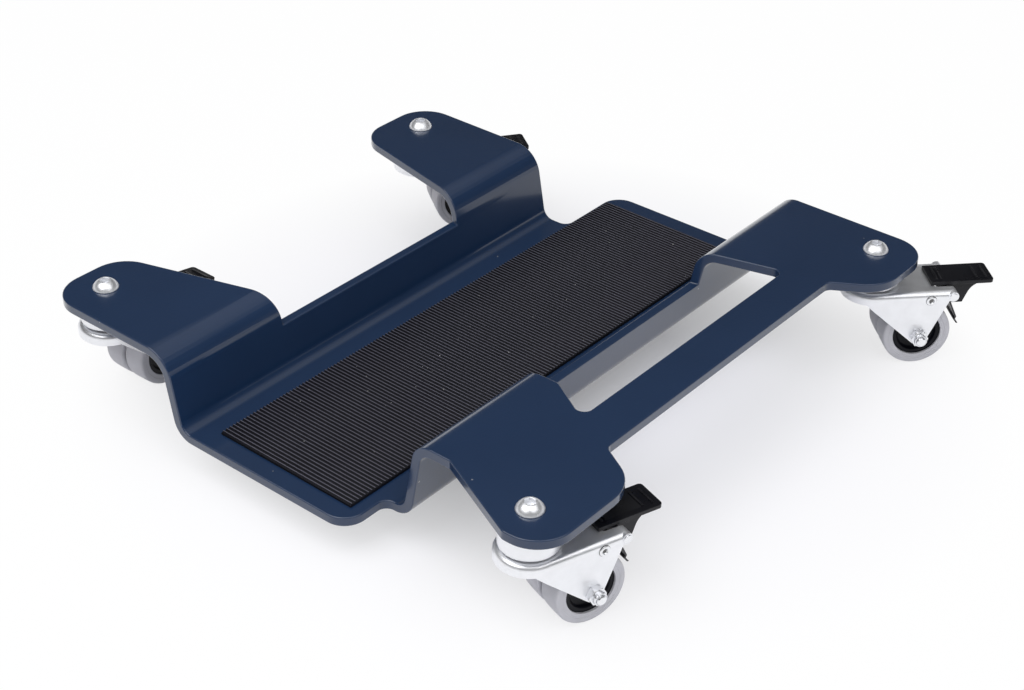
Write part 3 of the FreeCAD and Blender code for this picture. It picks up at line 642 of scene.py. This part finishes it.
@dataclass
class Deck:
    """The folded plate and the ribbed mat, in metres and degrees."""

    edge_round: float = 1.1 * MM
    edge_faces: int = 3
    mat_low: Vector = field(default_factory=lambda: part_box("ribbed_rubber_mat")[0])
    mat_high: Vector = field(default_factory=lambda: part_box("ribbed_rubber_mat")[1])
    mat_base: float = 2.0 * MM
    mat_spare: float = 2.0 * MM
    mat_further: float = 5.0 * MM
    mat_askew: float = -0.5
    mat_edge: float = 0.5 * MM
    mat_sharp: float = 60.0
    rib_pitch: float = 3.55 * MM
    rib_foot: float = 2.0 * MM
    rib_crest: float = 0.5 * MM
    rib_points: int = 14

    def build(self) -> None:
        """Build and dress the plate and the mat."""
        rounded_copy("navy_plate", "bent_deck_plate", "frame", PAINT, self.edge_round,
                     self.edge_faces)
        self._mat()

    def _ribs(self, low: Vector, high: Vector) -> tuple[np.ndarray, np.ndarray]:
        """Return places along the mat and its height there.

        The height is the base plus the rib's rise times p^2 (3 - 2 p), where p falls from 1 at
        the crest's edge to 0 at the rib's foot.

        Args:
            low: the mat's low corner.
            high: the mat's high corner.

        Returns:
            Places along the mat, and the height of its top at each.
        """
        ribs = int((high.y - low.y) / self.rib_pitch)
        along = np.linspace(low.y, low.y + ribs * self.rib_pitch, ribs * self.rib_points + 1)
        along = np.append(along, high.y)
        offset = np.abs(np.mod(along - low.y, self.rib_pitch) - self.rib_pitch / 2)
        slope = (self.rib_foot - self.rib_crest) / 2
        share = np.clip((self.rib_foot / 2 - offset) / slope, 0.0, 1.0)
        rise = high.z - low.z - self.mat_base
        return along, low.z + self.mat_base + rise * share ** 2 * (3 - 2 * share)

    def _mat(self) -> None:
        """Build the mat.

        Each row along the mat is a closed loop of eight points across it, from the foot of one
        side over its broken edge and the top to the other side's foot. The sheet was cut a little
        larger than its bed and lies a trifle askew, so the rows are turned about its middle.
        """
        low = self.mat_low - Vector((self.mat_spare, 0.0, 0.0))
        high = self.mat_high + Vector((self.mat_spare, self.mat_further, 0.0))
        along, top = self._ribs(low, high)
        half, edge = (high.x - low.x) / 2, self.mat_edge
        side = np.array([half, half, half - edge, half / 3])
        across = (high.x + low.x) / 2 + np.concatenate([-side, side[::-1]])
        drop = np.array([0.0, edge, 0.0, 0.0, 0.0, 0.0, edge, 0.0])
        foot = np.array([1.0, 0.0, 0.0, 0.0, 0.0, 0.0, 0.0, 1.0])
        height = (top[:, None] - drop) * (1 - foot) + low.z * foot
        grid = np.stack(np.broadcast_arrays(across[None], along[:, None], height), axis=-1)
        ends = np.broadcast_to(grid[[0, -1]].mean(axis=1, keepdims=True), grid[:2].shape)
        grid = np.concatenate([ends[:1], grid, ends[1:]])
        middle = (low + high) / 2
        turn = Matrix.Translation(middle) @ Matrix.Rotation(math.radians(self.mat_askew), 4, "Z")
        mesh = shell_mesh("ribbed_mat", [(grid, False)], self.mat_sharp)
        mesh.transform(turn @ Matrix.Translation(-middle))
        add_piece("ribbed_mat", mesh, "frame", RUBBER, "ribbed_rubber_mat")


@dataclass(frozen=True)
class CastorPlace:
    """Where a castor's screw stands in millimetres, and the turn of its wheels in degrees."""

    name: str
    across: float
    along: float
    swivel: float

    def put(self, points: np.ndarray) -> np.ndarray:
        """Turn points in millimetres by the swivel, move them to the screw and change to metres.

        Args:
            points: points about the castor's screw.

        Returns:
            The points in the frame.
        """
        turn = math.radians(self.swivel)
        x = points[..., 0] * math.cos(turn) - points[..., 1] * math.sin(turn) + self.across
        y = points[..., 0] * math.sin(turn) + points[..., 1] * math.cos(turn) + self.along
        return np.stack([x, y, points[..., 2]], axis=-1) * MM


PLACES = (
    CastorPlace("near_left", -243.5116, -250.6312, 90.0),
    CastorPlace("far_left", -243.5116, 123.3688, 55.0),
    CastorPlace("near_right", 192.4884, -250.6312, 71.0),
    CastorPlace("far_right", 192.4884, 203.3688, 46.5),
)


@dataclass
class Fasteners:
    """The castor screws and their flanged nuts, in millimetres."""

    columns: int = 72

    # Screw
    ear_top: float = 100.5
    head: float = 21.0
    head_height: float = 6.6
    rim: float = 0.7
    rim_bevel: float = 0.3
    dome_rows: int = 14
    socket: float = 8.0
    socket_depth: float = 4.0
    socket_bevel: float = 0.2
    socket_bevel_depth: float = 0.15
    lip: float = 0.35
    drill_share: float = 0.6
    drill_depth: float = 0.8
    thread: float = 12.0
    thread_pitch: float = 1.75
    thread_depth: float = 0.45
    thread_rows: int = 60
    thread_start: float = 0.2
    tail: float = 1.6
    tail_bevel: float = 0.8
    tail_taper: float = 1.2

    # Nut
    seat: float = 67.7
    nut: float = 18.0
    nut_height: float = 10.0
    nut_root: float = 0.4
    nut_cut: float = 0.25
    nut_cut_depth: float = 0.9
    bore_bevel: float = 0.6
    flange: float = 26.0
    flange_height: float = 3.0
    flange_bevel: float = 0.5
    flange_rim: float = 0.9
    flange_taper: float = 1.2
    flange_shoulder: float = 0.2

    def build(self) -> None:
        """Build the four screws as one piece and the four nuts as another."""
        screws = shell_mesh("button_screws", [(place.put(self._screw()), False)
                                              for place in PLACES])
        add_piece("button_screws", screws, "frame", SATIN_ZINC, "castor_screws")
        nuts = shell_mesh("flanged_nuts", [(place.put(self._nut()), True) for place in PLACES])
        add_piece("flanged_nuts", nuts, "frame", ZINC, "castor_nuts")

    def _screw(self) -> np.ndarray:
        """Return a button-head screw.

        From the socket's floor the rows climb its hexagon, pass over a dome, go down under the
        head and along the threaded shank. The dome is a part of the sphere through the socket's
        lip and the rim: with the lip at (a, p) and the rim at (b, q), its centre's height is
        c = (a^2 + p^2 - b^2 - q^2) / (2 (p - q)), and each row's height is
        c + sqrt(a^2 + (p - c)^2 - r^2).

        Returns:
            Points by row and column.
        """
        hexagon = hexagon_radius(self.columns, self.socket)
        top = self.ear_top + self.head_height
        floor = top - self.socket_depth
        lip = self.socket / math.sqrt(3) + self.lip
        half, rim, rise = self.head / 2, self.rim, self.head_height
        centre = (lip ** 2 + rise ** 2 - half ** 2 - rim ** 2) / (2 * (rise - rim))
        dome = np.linspace(lip, half, self.dome_rows)
        dome_height = self.ear_top + centre + np.sqrt(lip ** 2 + (rise - centre) ** 2 - dome ** 2)
        shank = self.thread / 2
        low = self.seat - self.nut_height - self.tail
        climb = np.linspace(self.seat - self.thread_start, low + self.tail_bevel, self.thread_rows)
        radius = np.concatenate([
            np.stack([0 * hexagon, self.drill_share * hexagon, hexagon, hexagon,
                      hexagon + self.socket_bevel]),
            rings(dome, self.columns),
            rings([half, half - self.rim_bevel, shank], self.columns),
            thread_radius(climb, self.columns, shank, self.thread_pitch, self.thread_depth),
            rings([shank - self.tail_taper, 0.0], self.columns),
        ])
        height = np.concatenate([
            [floor - self.drill_depth, floor, floor, top - self.socket_bevel_depth, top],
            dome_height,
            [self.ear_top + self.rim_bevel, self.ear_top, self.ear_top],
            climb,
            [low, low],
        ])
        return turned(radius, height)

    def _nut(self) -> np.ndarray:
        """Return a flanged nut: a hexagon whose corners are cut by a cone, over a round flange.

        Returns:
            Points by row and column.
        """
        hexagon = hexagon_radius(self.columns, self.nut)
        low = self.seat - self.nut_height
        under = self.seat - self.flange_height
        bore, half = self.thread / 2, self.flange / 2
        radius = np.concatenate([
            rings([bore, half - self.flange_bevel, half, half, half - self.flange_taper],
                  self.columns),
            np.stack([hexagon, hexagon, np.minimum(hexagon, self.nut / 2 + self.nut_cut)]),
            rings([bore + self.bore_bevel, bore], self.columns),
        ])
        height = np.array([
            self.seat, self.seat, self.seat - self.flange_bevel, under + self.flange_rim,
            under + self.flange_shoulder, under - self.nut_root, low + self.nut_cut_depth, low,
            low, low + self.bore_bevel,
        ])
        return turned(radius, height)


@dataclass
class Castor:
    """One braked swivel castor with twin wheels, in millimetres about its screw.

    Rows of three numbers hold a corner's radius, its place along the axis and the reach of its
    rounding. Rows of two hold a radius, or its growth or inset, and a place along the axis.
    """

    place: CastorPlace

    # Swivel head and fork
    plate_under: float = 92.5
    fork_top: float = 70.5
    fork_half: float = 25.5
    fork_edge: float = 0.35
    edge_faces: int = 2
    race_gap: float = 1.6
    race_rim: float = 22.5
    race_neck: float = 19.5
    race_neck_height: float = 6.0
    race_bore: float = 6.4
    race_columns: int = 96
    king_tube: float = 8.0
    king_foot: float = 67.7
    cage_bore: float = 8.8
    cage_rim: float = 17.0
    cage_round: float = 0.3
    cage_steps: int = 3
    cage_play: float = 0.3
    cage_columns: int = 64
    balls: int = 30
    ball_circle: float = 17.3
    ball_rows: int = 7
    ball_columns: int = 10

    # Axle
    axle_trail: float = 38.0
    axle_columns: int = 60
    axle_thread: float = 8.0
    axle_pitch: float = 1.25
    axle_thread_depth: float = 0.225
    axle_thread_rows: int = 100
    axle_thread_start: float = 0.1
    axle_head: float = 13.0
    axle_head_height: float = 5.3
    axle_head_cone: Rows = ((-0.2, 0.0), (0.0, 0.15), (0.6, 0.55))
    axle_head_bevel: float = 1.0
    axle_tail: float = 3.0
    axle_tail_bevel: float = 0.7
    axle_tail_taper: float = 0.8
    axle_nut_height: float = 7.5
    axle_nut_cone: Rows = ((0.0, 0.0), (0.5, 0.3))
    axle_nut_bevel: float = 0.6
    lock_step: float = 5.4
    lock_rise: float = 1.4
    lock_inset: float = 1.1
    lock_edge: Rows = ((1.1, 0.8), (1.3, 0.25), (1.8, 0.0))
    lock_mouth: Rows = ((0.6, 0.0), (0.5, 1.0), (0.0, 1.1))

    # Wheels
    wheel_radius: float = 29.0
    hub_columns: int = 80
    hub_rows: Rows = (
        (6.05, 0.6, 0.1), (9.0, 0.6, 0.3), (9.0, 1.5, 0.3), (20.5, 1.5, 0.3), (20.5, 20.0, 0.3),
        (17.0, 20.0, 0.8), (15.6, 16.5, 1.6), (9.6, 16.5, 1.6), (9.0, 22.7, 0.5), (6.05, 22.7, 0.2),
    )
    tyre_columns: int = 112
    tyre_steps: int = 8
    tyre_bore: float = 20.5
    tyre_gap: float = 1.5
    tyre_side: float = 22.0
    tyre_crown: float = 7.0
    tyre_inner_drop: float = 0.15
    tyre_outer_drop: float = 0.3
    side_ring: float = 24.2
    side_ring_foot: float = 23.8
    side_ring_height: float = 0.4

    # Brake
    pedal_edge: float = 0.35
    leaf_edge: float = 0.25
    cross_columns: int = 40
    cross_corner: float = 0.1
    pin_trail: float = 64.0
    pin_drop: float = 4.5
    pin_head: float = 3.5
    pin_head_height: float = 1.0
    pin_head_round: float = 0.8
    pin_shank: float = 2.5
    rivet_trail: float = 45.0
    rivet_drop: float = 7.0
    rivet_head: float = 4.3
    rivet_head_height: float = 1.2
    rivet_head_round: float = 0.9
    rivet_shank: float = 3.0
    rivet_mouth: Rows = ((4.3, 0.7, 0.4), (3.4, 1.2, 0.5), (2.4, 1.2, 0.4), (1.9, 0.1, 0.3),
                         (0.0, -0.4, 0.0))
    # Painted shade: a dark dish in the rivet's hollow end, and a painted shadow line round its head
    rivet_shade_dish: Rows = ((0.0, -0.2), (1.5, 0.1), (1.7, 0.2), (1.5, 0.3), (0.0, 0.0))
    rivet_shadow_line: Rows = ((4.2, 0.0), (4.6, 0.0), (4.6, 0.15), (4.2, 0.15))

    def build(self) -> None:
        """Build and dress every piece of the castor."""
        name = self.place.name
        castor, brake = f"{name}_castor", f"{name}_brake"
        self._add("top_race", self._race(), "frame", MILKY_ZINC)
        self._add("ball_ring", self._ball_ring(), castor, DARK_STEEL)
        rounded_copy(f"{name}_pressed_fork", f"{name}_fork", castor, MILKY_ZINC,
                     self.fork_edge * MM, self.edge_faces)
        self._add("axle_bolt", self._axle_bolt(), castor, ZINC)
        self._add("axle_nut", self._axle_nut(), castor, ZINC)
        dress_node(f"{name}_axle_sleeve", DARK_STEEL)
        for side in WheelSide:
            wheel = f"{name}_{side.label}_wheel"
            self._add(f"{side.label}_hub", self._hub(side), wheel, HUB_PLASTIC)
            self._add(f"{side.label}_tyre", self._tyre(side), wheel, TREAD)
        rounded_copy(f"{name}_rocking_pedal", f"{name}_pedal", brake, PLASTIC,
                     self.pedal_edge * MM, self.edge_faces)
        rounded_copy(f"{name}_bent_leaf", f"{name}_brake_leaf", brake, BLACK_STEEL,
                     self.leaf_edge * MM, self.edge_faces)
        self._add("pedal_pin", self._pin(), castor, ZINC)
        self._add("cross_rivet", self._rivet(), castor, ZINC)
        # A dark piece that paints the shade in the rivet's hollow end and the shadow round its head
        hollow = shell_mesh(f"{name}_rivet_hollow", self._placed(self._rivet_hollow()))
        add_piece(f"{name}_rivet_hollow", hollow, castor, DARK_STEEL)

    def _add(self, part: str, shells: Shells, body: str, finish: Finish) -> None:
        """Put grids at the castor's place as a piece that stands for a solid.

        Args:
            part: the solid's name without the castor's.
            shells: grids of points with whether their rows are closed.
            body: the body that the piece rides on.
            finish: its finish.
        """
        name = f"{self.place.name}_{part}"
        mesh = shell_mesh(f"{name}_look", self._placed(shells))
        add_piece(f"{name}_look", mesh, body, finish, name)

    def _placed(self, shells: Shells) -> Shells:
        """Put grids at the castor's place."""
        return [(self.place.put(grid), loop) for grid, loop in shells]

    def _race(self) -> Shells:
        """Turn the race: a neck, a rim with round edges and the king tube.

        Returns:
            One closed grid.
        """
        top, under, foot = self.plate_under, self.fork_top + self.race_gap, self.king_foot
        step = top - self.race_neck_height
        bore, neck, rim, tube = self.race_bore, self.race_neck, self.race_rim, self.king_tube
        rows = (
            (bore, top, 0.2), (neck, top, 0.8), (neck, step, 1.2), (rim, step, 2.4),
            (rim, under, 2.4), (tube, under, 0.5), (tube, foot, 0.3), (bore, foot, 0.2),
        )
        return [(turned_profile(soften(rows), self.race_columns), True)]

    def _ball_ring(self) -> Shells:
        """Turn the balls' cage, and set balls round it as latitude and longitude grids.

        Returns:
            The cage and the balls.
        """
        low, high = self.fork_top, self.fork_top + self.race_gap - self.cage_play
        bore, rim, reach = self.cage_bore, self.cage_rim, self.cage_round
        rows = ((bore, low, reach), (rim, low, reach), (rim, high, reach), (bore, high, reach))
        cage = turned_profile(soften(rows, self.cage_steps), self.cage_columns)
        radius = (high - low) / 2
        tilt = np.linspace(0.0, math.pi, self.ball_rows)
        ball = turned(rings(radius * np.sin(tilt), self.ball_columns),
                      (low + high) / 2 + radius * np.cos(tilt))
        offsets = turned(rings([self.ball_circle], self.balls), [0.0])[0]
        return [(cage, True)] + [(ball + offset, False) for offset in offsets]

    def _on_axle(self, points: np.ndarray) -> np.ndarray:
        """Lay points along the axle: the upright axis becomes the axle's."""
        return lay_across(points) + np.array([self.axle_trail, 0.0, self.wheel_radius])

    def _axle_bolt(self) -> Shells:
        """Make the bolt: a hexagon head cut by a cone, a shank and a threaded tail.

        Returns:
            One grid from pole to pole.
        """
        columns, face = self.axle_columns, self.fork_half
        hexagon = hexagon_radius(columns, self.axle_head)
        growth, depth = np.array(self.axle_head_cone).T
        half = self.axle_thread / 2
        outer = face + self.axle_head_height
        end = -(face + self.axle_nut_height + self.axle_tail)
        climb = np.linspace(-face, end + self.axle_tail_bevel, self.axle_thread_rows)
        radius = np.concatenate([
            rings([0.0], columns),
            np.minimum(hexagon, self.axle_head / 2 + growth[:, None]),
            np.stack([hexagon, hexagon]),
            rings([half, half], columns),
            thread_radius(climb, columns, half, self.axle_pitch, self.axle_thread_depth),
            rings([half - self.axle_tail_taper, 0.0], columns),
        ])
        height = np.concatenate([
            [outer],
            outer - depth,
            [outer - self.axle_head_bevel, face],
            [face, self.axle_thread_start - face],
            climb,
            [end, end],
        ])
        return [(self._on_axle(turned(radius, height)), False)]

    def _axle_nut(self) -> Shells:
        """Make the locking nut: a hexagon cut by cones, with a collar that stands off the bolt.

        Returns:
            One closed grid.
        """
        columns = self.axle_columns
        hexagon = hexagon_radius(columns, self.axle_head)
        flat, bore = self.axle_head / 2, self.axle_thread / 2
        seat = -self.fork_half
        step = seat - self.lock_step
        end = seat - self.axle_nut_height - self.lock_rise
        growth, depth = np.array(self.axle_nut_cone).T
        inset, edge = np.array(self.lock_edge).T
        gap, mouth = np.array(self.lock_mouth).T
        cone = np.minimum(hexagon, flat + growth[:, None])
        radius = np.concatenate([
            rings([bore], columns),
            cone,
            np.stack([hexagon, hexagon]),
            cone[::-1],
            rings([flat - self.lock_inset], columns),
            rings(flat - inset, columns),
            rings(bore + gap, columns),
        ])
        height = np.concatenate([
            [seat],
            seat - depth,
            [seat - self.axle_nut_bevel, step + self.axle_nut_bevel],
            step + depth[::-1],
            [step],
            end + edge,
            end + mouth,
        ])
        return [(self._on_axle(turned(radius, height)), True)]

    def _hub(self, side: WheelSide) -> Shells:
        """Turn a hub with a bore, a boss, a dished web and a rim, on a side of the fork."""
        profile = soften(self.hub_rows) * np.array([1.0, side.value])
        return [(self._on_axle(turned_profile(profile, self.hub_columns)), True)]

    def _tyre(self, side: WheelSide) -> Shells:
        """Turn a tyre with round shoulders and a low ring on its side.

        Args:
            side: side of the fork.

        Returns:
            One closed grid.
        """
        bore, tread, crown = self.tyre_bore, self.wheel_radius, self.tyre_crown
        inner, outer = self.tyre_gap, self.tyre_side
        dish = outer - self.side_ring_height
        rows = (
            (bore, inner, 0.3), (tread - self.tyre_inner_drop, inner, 4.2), (tread, crown, 2.0),
            (tread, outer - crown, 2.0), (tread - self.tyre_outer_drop, outer, 4.6),
            (self.side_ring, outer, 0.3), (self.side_ring_foot, dish, 0.3), (bore, dish, 0.4),
        )
        profile = soften(rows, self.tyre_steps) * np.array([1.0, side.value])
        return [(self._on_axle(turned_profile(profile, self.tyre_columns)), True)]

    def _cross(self, profile: np.ndarray, trail: float, drop: float, loop: bool = False) -> Shells:
        """Turn a profile of radius and place along the axis about a cross axis of the fork.

        Args:
            profile: radius and place of each row.
            trail: the axis's distance behind the screw.
            drop: the axis's depth under the fork's top.
            loop: whether the last row joins the first.

        Returns:
            One grid.
        """
        axis = np.array([trail, 0.0, self.fork_top - drop])
        return [(lay_across(turned_profile(profile, self.cross_columns)) + axis, loop)]

    def _near_end(self, rows: Rows) -> np.ndarray:
        """Return rows whose places were counted outwards from the fork's near face.

        Args:
            rows: radius, distance from the face, and reach if any.

        Returns:
            The rows with places along the axis.
        """
        table = np.array(rows)
        table[:, 1] = -self.fork_half - table[:, 1]
        return table

    def _pin(self) -> Shells:
        """Turn the pedal's pin with a low round head at each end.

        Returns:
            One grid from pole to pole.
        """
        face, end = self.fork_half, self.fork_half + self.pin_head_height
        head, shank, corner = self.pin_head, self.pin_shank, self.cross_corner
        half = np.array([(0.0, end, 0.0), (head, end, self.pin_head_round), (head, face, corner),
                         (shank, face, corner)])
        rows = np.concatenate([half, half[::-1] * np.array([1.0, -1.0, 1.0])])
        return self._cross(soften(rows, closed=False), self.pin_trail, self.pin_drop)

    def _rivet(self) -> Shells:
        """Turn the cross rivet, its near end hollow with a turned-over ring.

        Returns:
            One grid from pole to pole.
        """
        face, end = self.fork_half, self.fork_half + self.rivet_head_height
        head, shank, corner = self.rivet_head, self.rivet_shank, self.cross_corner
        body = ((0.0, end, 0.0), (head, end, self.rivet_head_round), (head, face, corner),
                (shank, face, corner), (shank, -face, corner), (head, -face, corner))
        rows = np.concatenate([body, self._near_end(self.rivet_mouth)])
        return self._cross(soften(rows, closed=False), self.rivet_trail, self.rivet_drop)

    def _rivet_hollow(self) -> Shells:
        """Turn the painted shade in the rivet's hollow end and the painted shadow line round its
        head.

        Returns:
            A dish from pole to pole and a closed ring.
        """
        axis = (self.rivet_trail, self.rivet_drop)
        dish = self._cross(self._near_end(self.rivet_shade_dish), *axis)
        return dish + self._cross(self._near_end(self.rivet_shadow_line), *axis, loop=True)


# Studio

@dataclass(frozen=True)
class Softbox:
    """A square lamp aimed at the origin, in metres and watts, and whether mirrors show it."""

    name: str
    place: Triple
    size: float
    power: float
    mirrored: bool = True

    def hang(self) -> None:
        """Add the lamp to the scene."""
        lamp = bpy.data.lights.new(self.name, "AREA")
        lamp.shape = "SQUARE"
        lamp.size = self.size
        lamp.energy = self.power
        holder = bpy.data.objects.new(self.name, lamp)
        holder.visible_glossy = self.mirrored
        place = Vector(self.place)
        turn = place.to_track_quat("Z", "Y").to_matrix().to_4x4()
        holder.matrix_world = Matrix.Translation(place) @ turn
        bpy.context.scene.collection.objects.link(holder)


@dataclass
class Studio:
    """The floor, the lights and the camera, in metres, with the lens in millimetres."""

    floor_size: float = 14.0
    floor_drop: float = 0.0002
    floor_colour: tuple[float, float, float, float] = (0.90, 0.90, 0.97, 1.0)
    floor_roughness: float = 0.9
    floor_white: Pair = (0.25, 0.98)
    floor_fade: Pair = (0.12, 0.39)
    lens: float = 65.58
    sensor: float = 36.0
    far_clip: float = 100.0
    camera_place: Triple = (0.805988, -1.024031, 0.8835)
    right: Triple = (0.76969, 0.63831, 0.01190)
    up: Triple = (-0.35909, 0.41745, 0.83474)
    back: Triple = (0.52785, -0.64676, 0.55051)
    softboxes: tuple[Softbox, ...] = (
        Softbox("key_softbox", (-0.25, -0.8, 1.5), 1.4, 16.0),
        Softbox("side_softbox", (0.95, -0.1, 1.5), 1.3, 6.0),
        Softbox("fill_softbox", (1.3, -0.9, 0.9), 1.5, 8.0, mirrored=False),
    )
    room: Rows = ((0.0, 1.0), (0.1, 0.9), (0.25, 0.06), (0.6, 0.08), (0.8, 0.5), (1.0, 0.6))

    def build(self) -> None:
        """Build the studio."""
        self._floor()
        self._world()
        for softbox in self.softboxes:
            softbox.hang()
        self._camera()
        bpy.context.scene.view_settings.view_transform = "Standard"

    def _floor(self) -> None:
        """Lay a plain white floor: a flat grid of four points, just under the wheels."""
        half = self.floor_size / 2
        side = np.array([-half, half])
        x, y = np.meshgrid(side, side)
        points = np.stack([x, y, np.full_like(x, -self.floor_drop)], axis=-1).reshape(-1, 3)
        mesh = bpy.data.meshes.new("floor")
        mesh.from_pydata(points.tolist(), [], [(0, 1, 3, 2)])
        mesh.materials.append(self._floor_material())
        floor = bpy.data.objects.new("floor", mesh)
        bpy.context.scene.collection.objects.link(floor)

    def _floor_material(self) -> bpy.types.Material:
        """Make the floor's material.

        The camera and mirrors see the floor partly lit and partly white by itself, and the white
        share grows away from the middle. From below it is clear, so that the underside is seen.

        Returns:
            The material.
        """
        made = bpy.data.materials.new("pale_floor")
        made.use_nodes = True
        tree = made.node_tree
        surface = tree.nodes["Principled BSDF"]
        surface.inputs["Base Color"].default_value = self.floor_colour
        surface.inputs["Roughness"].default_value = self.floor_roughness
        surface.inputs["Specular IOR Level"].default_value = 0.0
        rays = tree.nodes.new("ShaderNodeLightPath").outputs
        seen = math_node(tree, "MAXIMUM", rays["Is Camera Ray"], rays["Is Glossy Ray"])
        seen = math_node(tree, "MAXIMUM", seen, rays["Is Transmission Ray"])
        white = add_node(tree, "ShaderNodeEmission", {"Color": grey(1.0), "Strength": 1.0})
        place = tree.nodes.new("ShaderNodeTexCoord").outputs["Object"]
        length = add_node(tree, "ShaderNodeVectorMath", {0: place}, operation="LENGTH")
        away = map_range(tree, length.outputs["Value"], *self.floor_fade, *self.floor_white)
        share = math_node(tree, "MULTIPLY", seen, away)
        top = {0: share, 1: surface.outputs[0], 2: white.outputs[0]}
        lit = add_node(tree, "ShaderNodeMixShader", top)
        below = tree.nodes.new("ShaderNodeNewGeometry").outputs["Backfacing"]
        clear = tree.nodes.new("ShaderNodeBsdfTransparent")
        both = {0: below, 1: lit.outputs[0], 2: clear.outputs[0]}
        sheet = add_node(tree, "ShaderNodeMixShader", both)
        tree.links.new(sheet.outputs[0], tree.nodes["Material Output"].inputs["Surface"])
        return made

    def _world(self) -> None:
        """Light the scene by a room that is white at the horizon, dark above it, pale overhead."""
        world = bpy.data.worlds.new("studio")
        bpy.context.scene.world = world
        world.use_nodes = True
        tree = world.node_tree
        place = tree.nodes.new("ShaderNodeTexCoord").outputs["Generated"]
        height = add_node(tree, "ShaderNodeSeparateXYZ", {"Vector": place}).outputs["Z"]
        ramp = add_node(tree, "ShaderNodeValToRGB", {"Fac": height})
        stops = ramp.color_ramp.elements
        while len(stops) < len(self.room):
            stops.new(0.5)  # Halfway until it gets its place below
        for stop, (position, level) in zip(stops, self.room):
            stop.position = position
            stop.color = grey(level)
        tree.links.new(ramp.outputs["Color"], tree.nodes["Background"].inputs["Color"])

    def _camera(self) -> None:
        """Set the camera at the photograph's place and angle."""
        camera = bpy.data.cameras.new("photo_camera")
        camera.lens = self.lens
        camera.sensor_width = self.sensor
        camera.clip_end = self.far_clip
        holder = bpy.data.objects.new("photo_camera", camera)
        turn = Matrix((self.right, self.up, self.back)).transposed()
        holder.matrix_world = Matrix.Translation(self.camera_place) @ turn.to_4x4()
        bpy.context.scene.collection.objects.link(holder)
        bpy.context.scene.camera = holder


def main() -> None:
    """Build the studio and the object."""
    logging.basicConfig(level=logging.INFO, format="%(message)s")
    Studio().build()
    Deck().build()
    Fasteners().build()
    for place in PLACES:
        Castor(place).build()


if __name__ == "__main__":
    main()
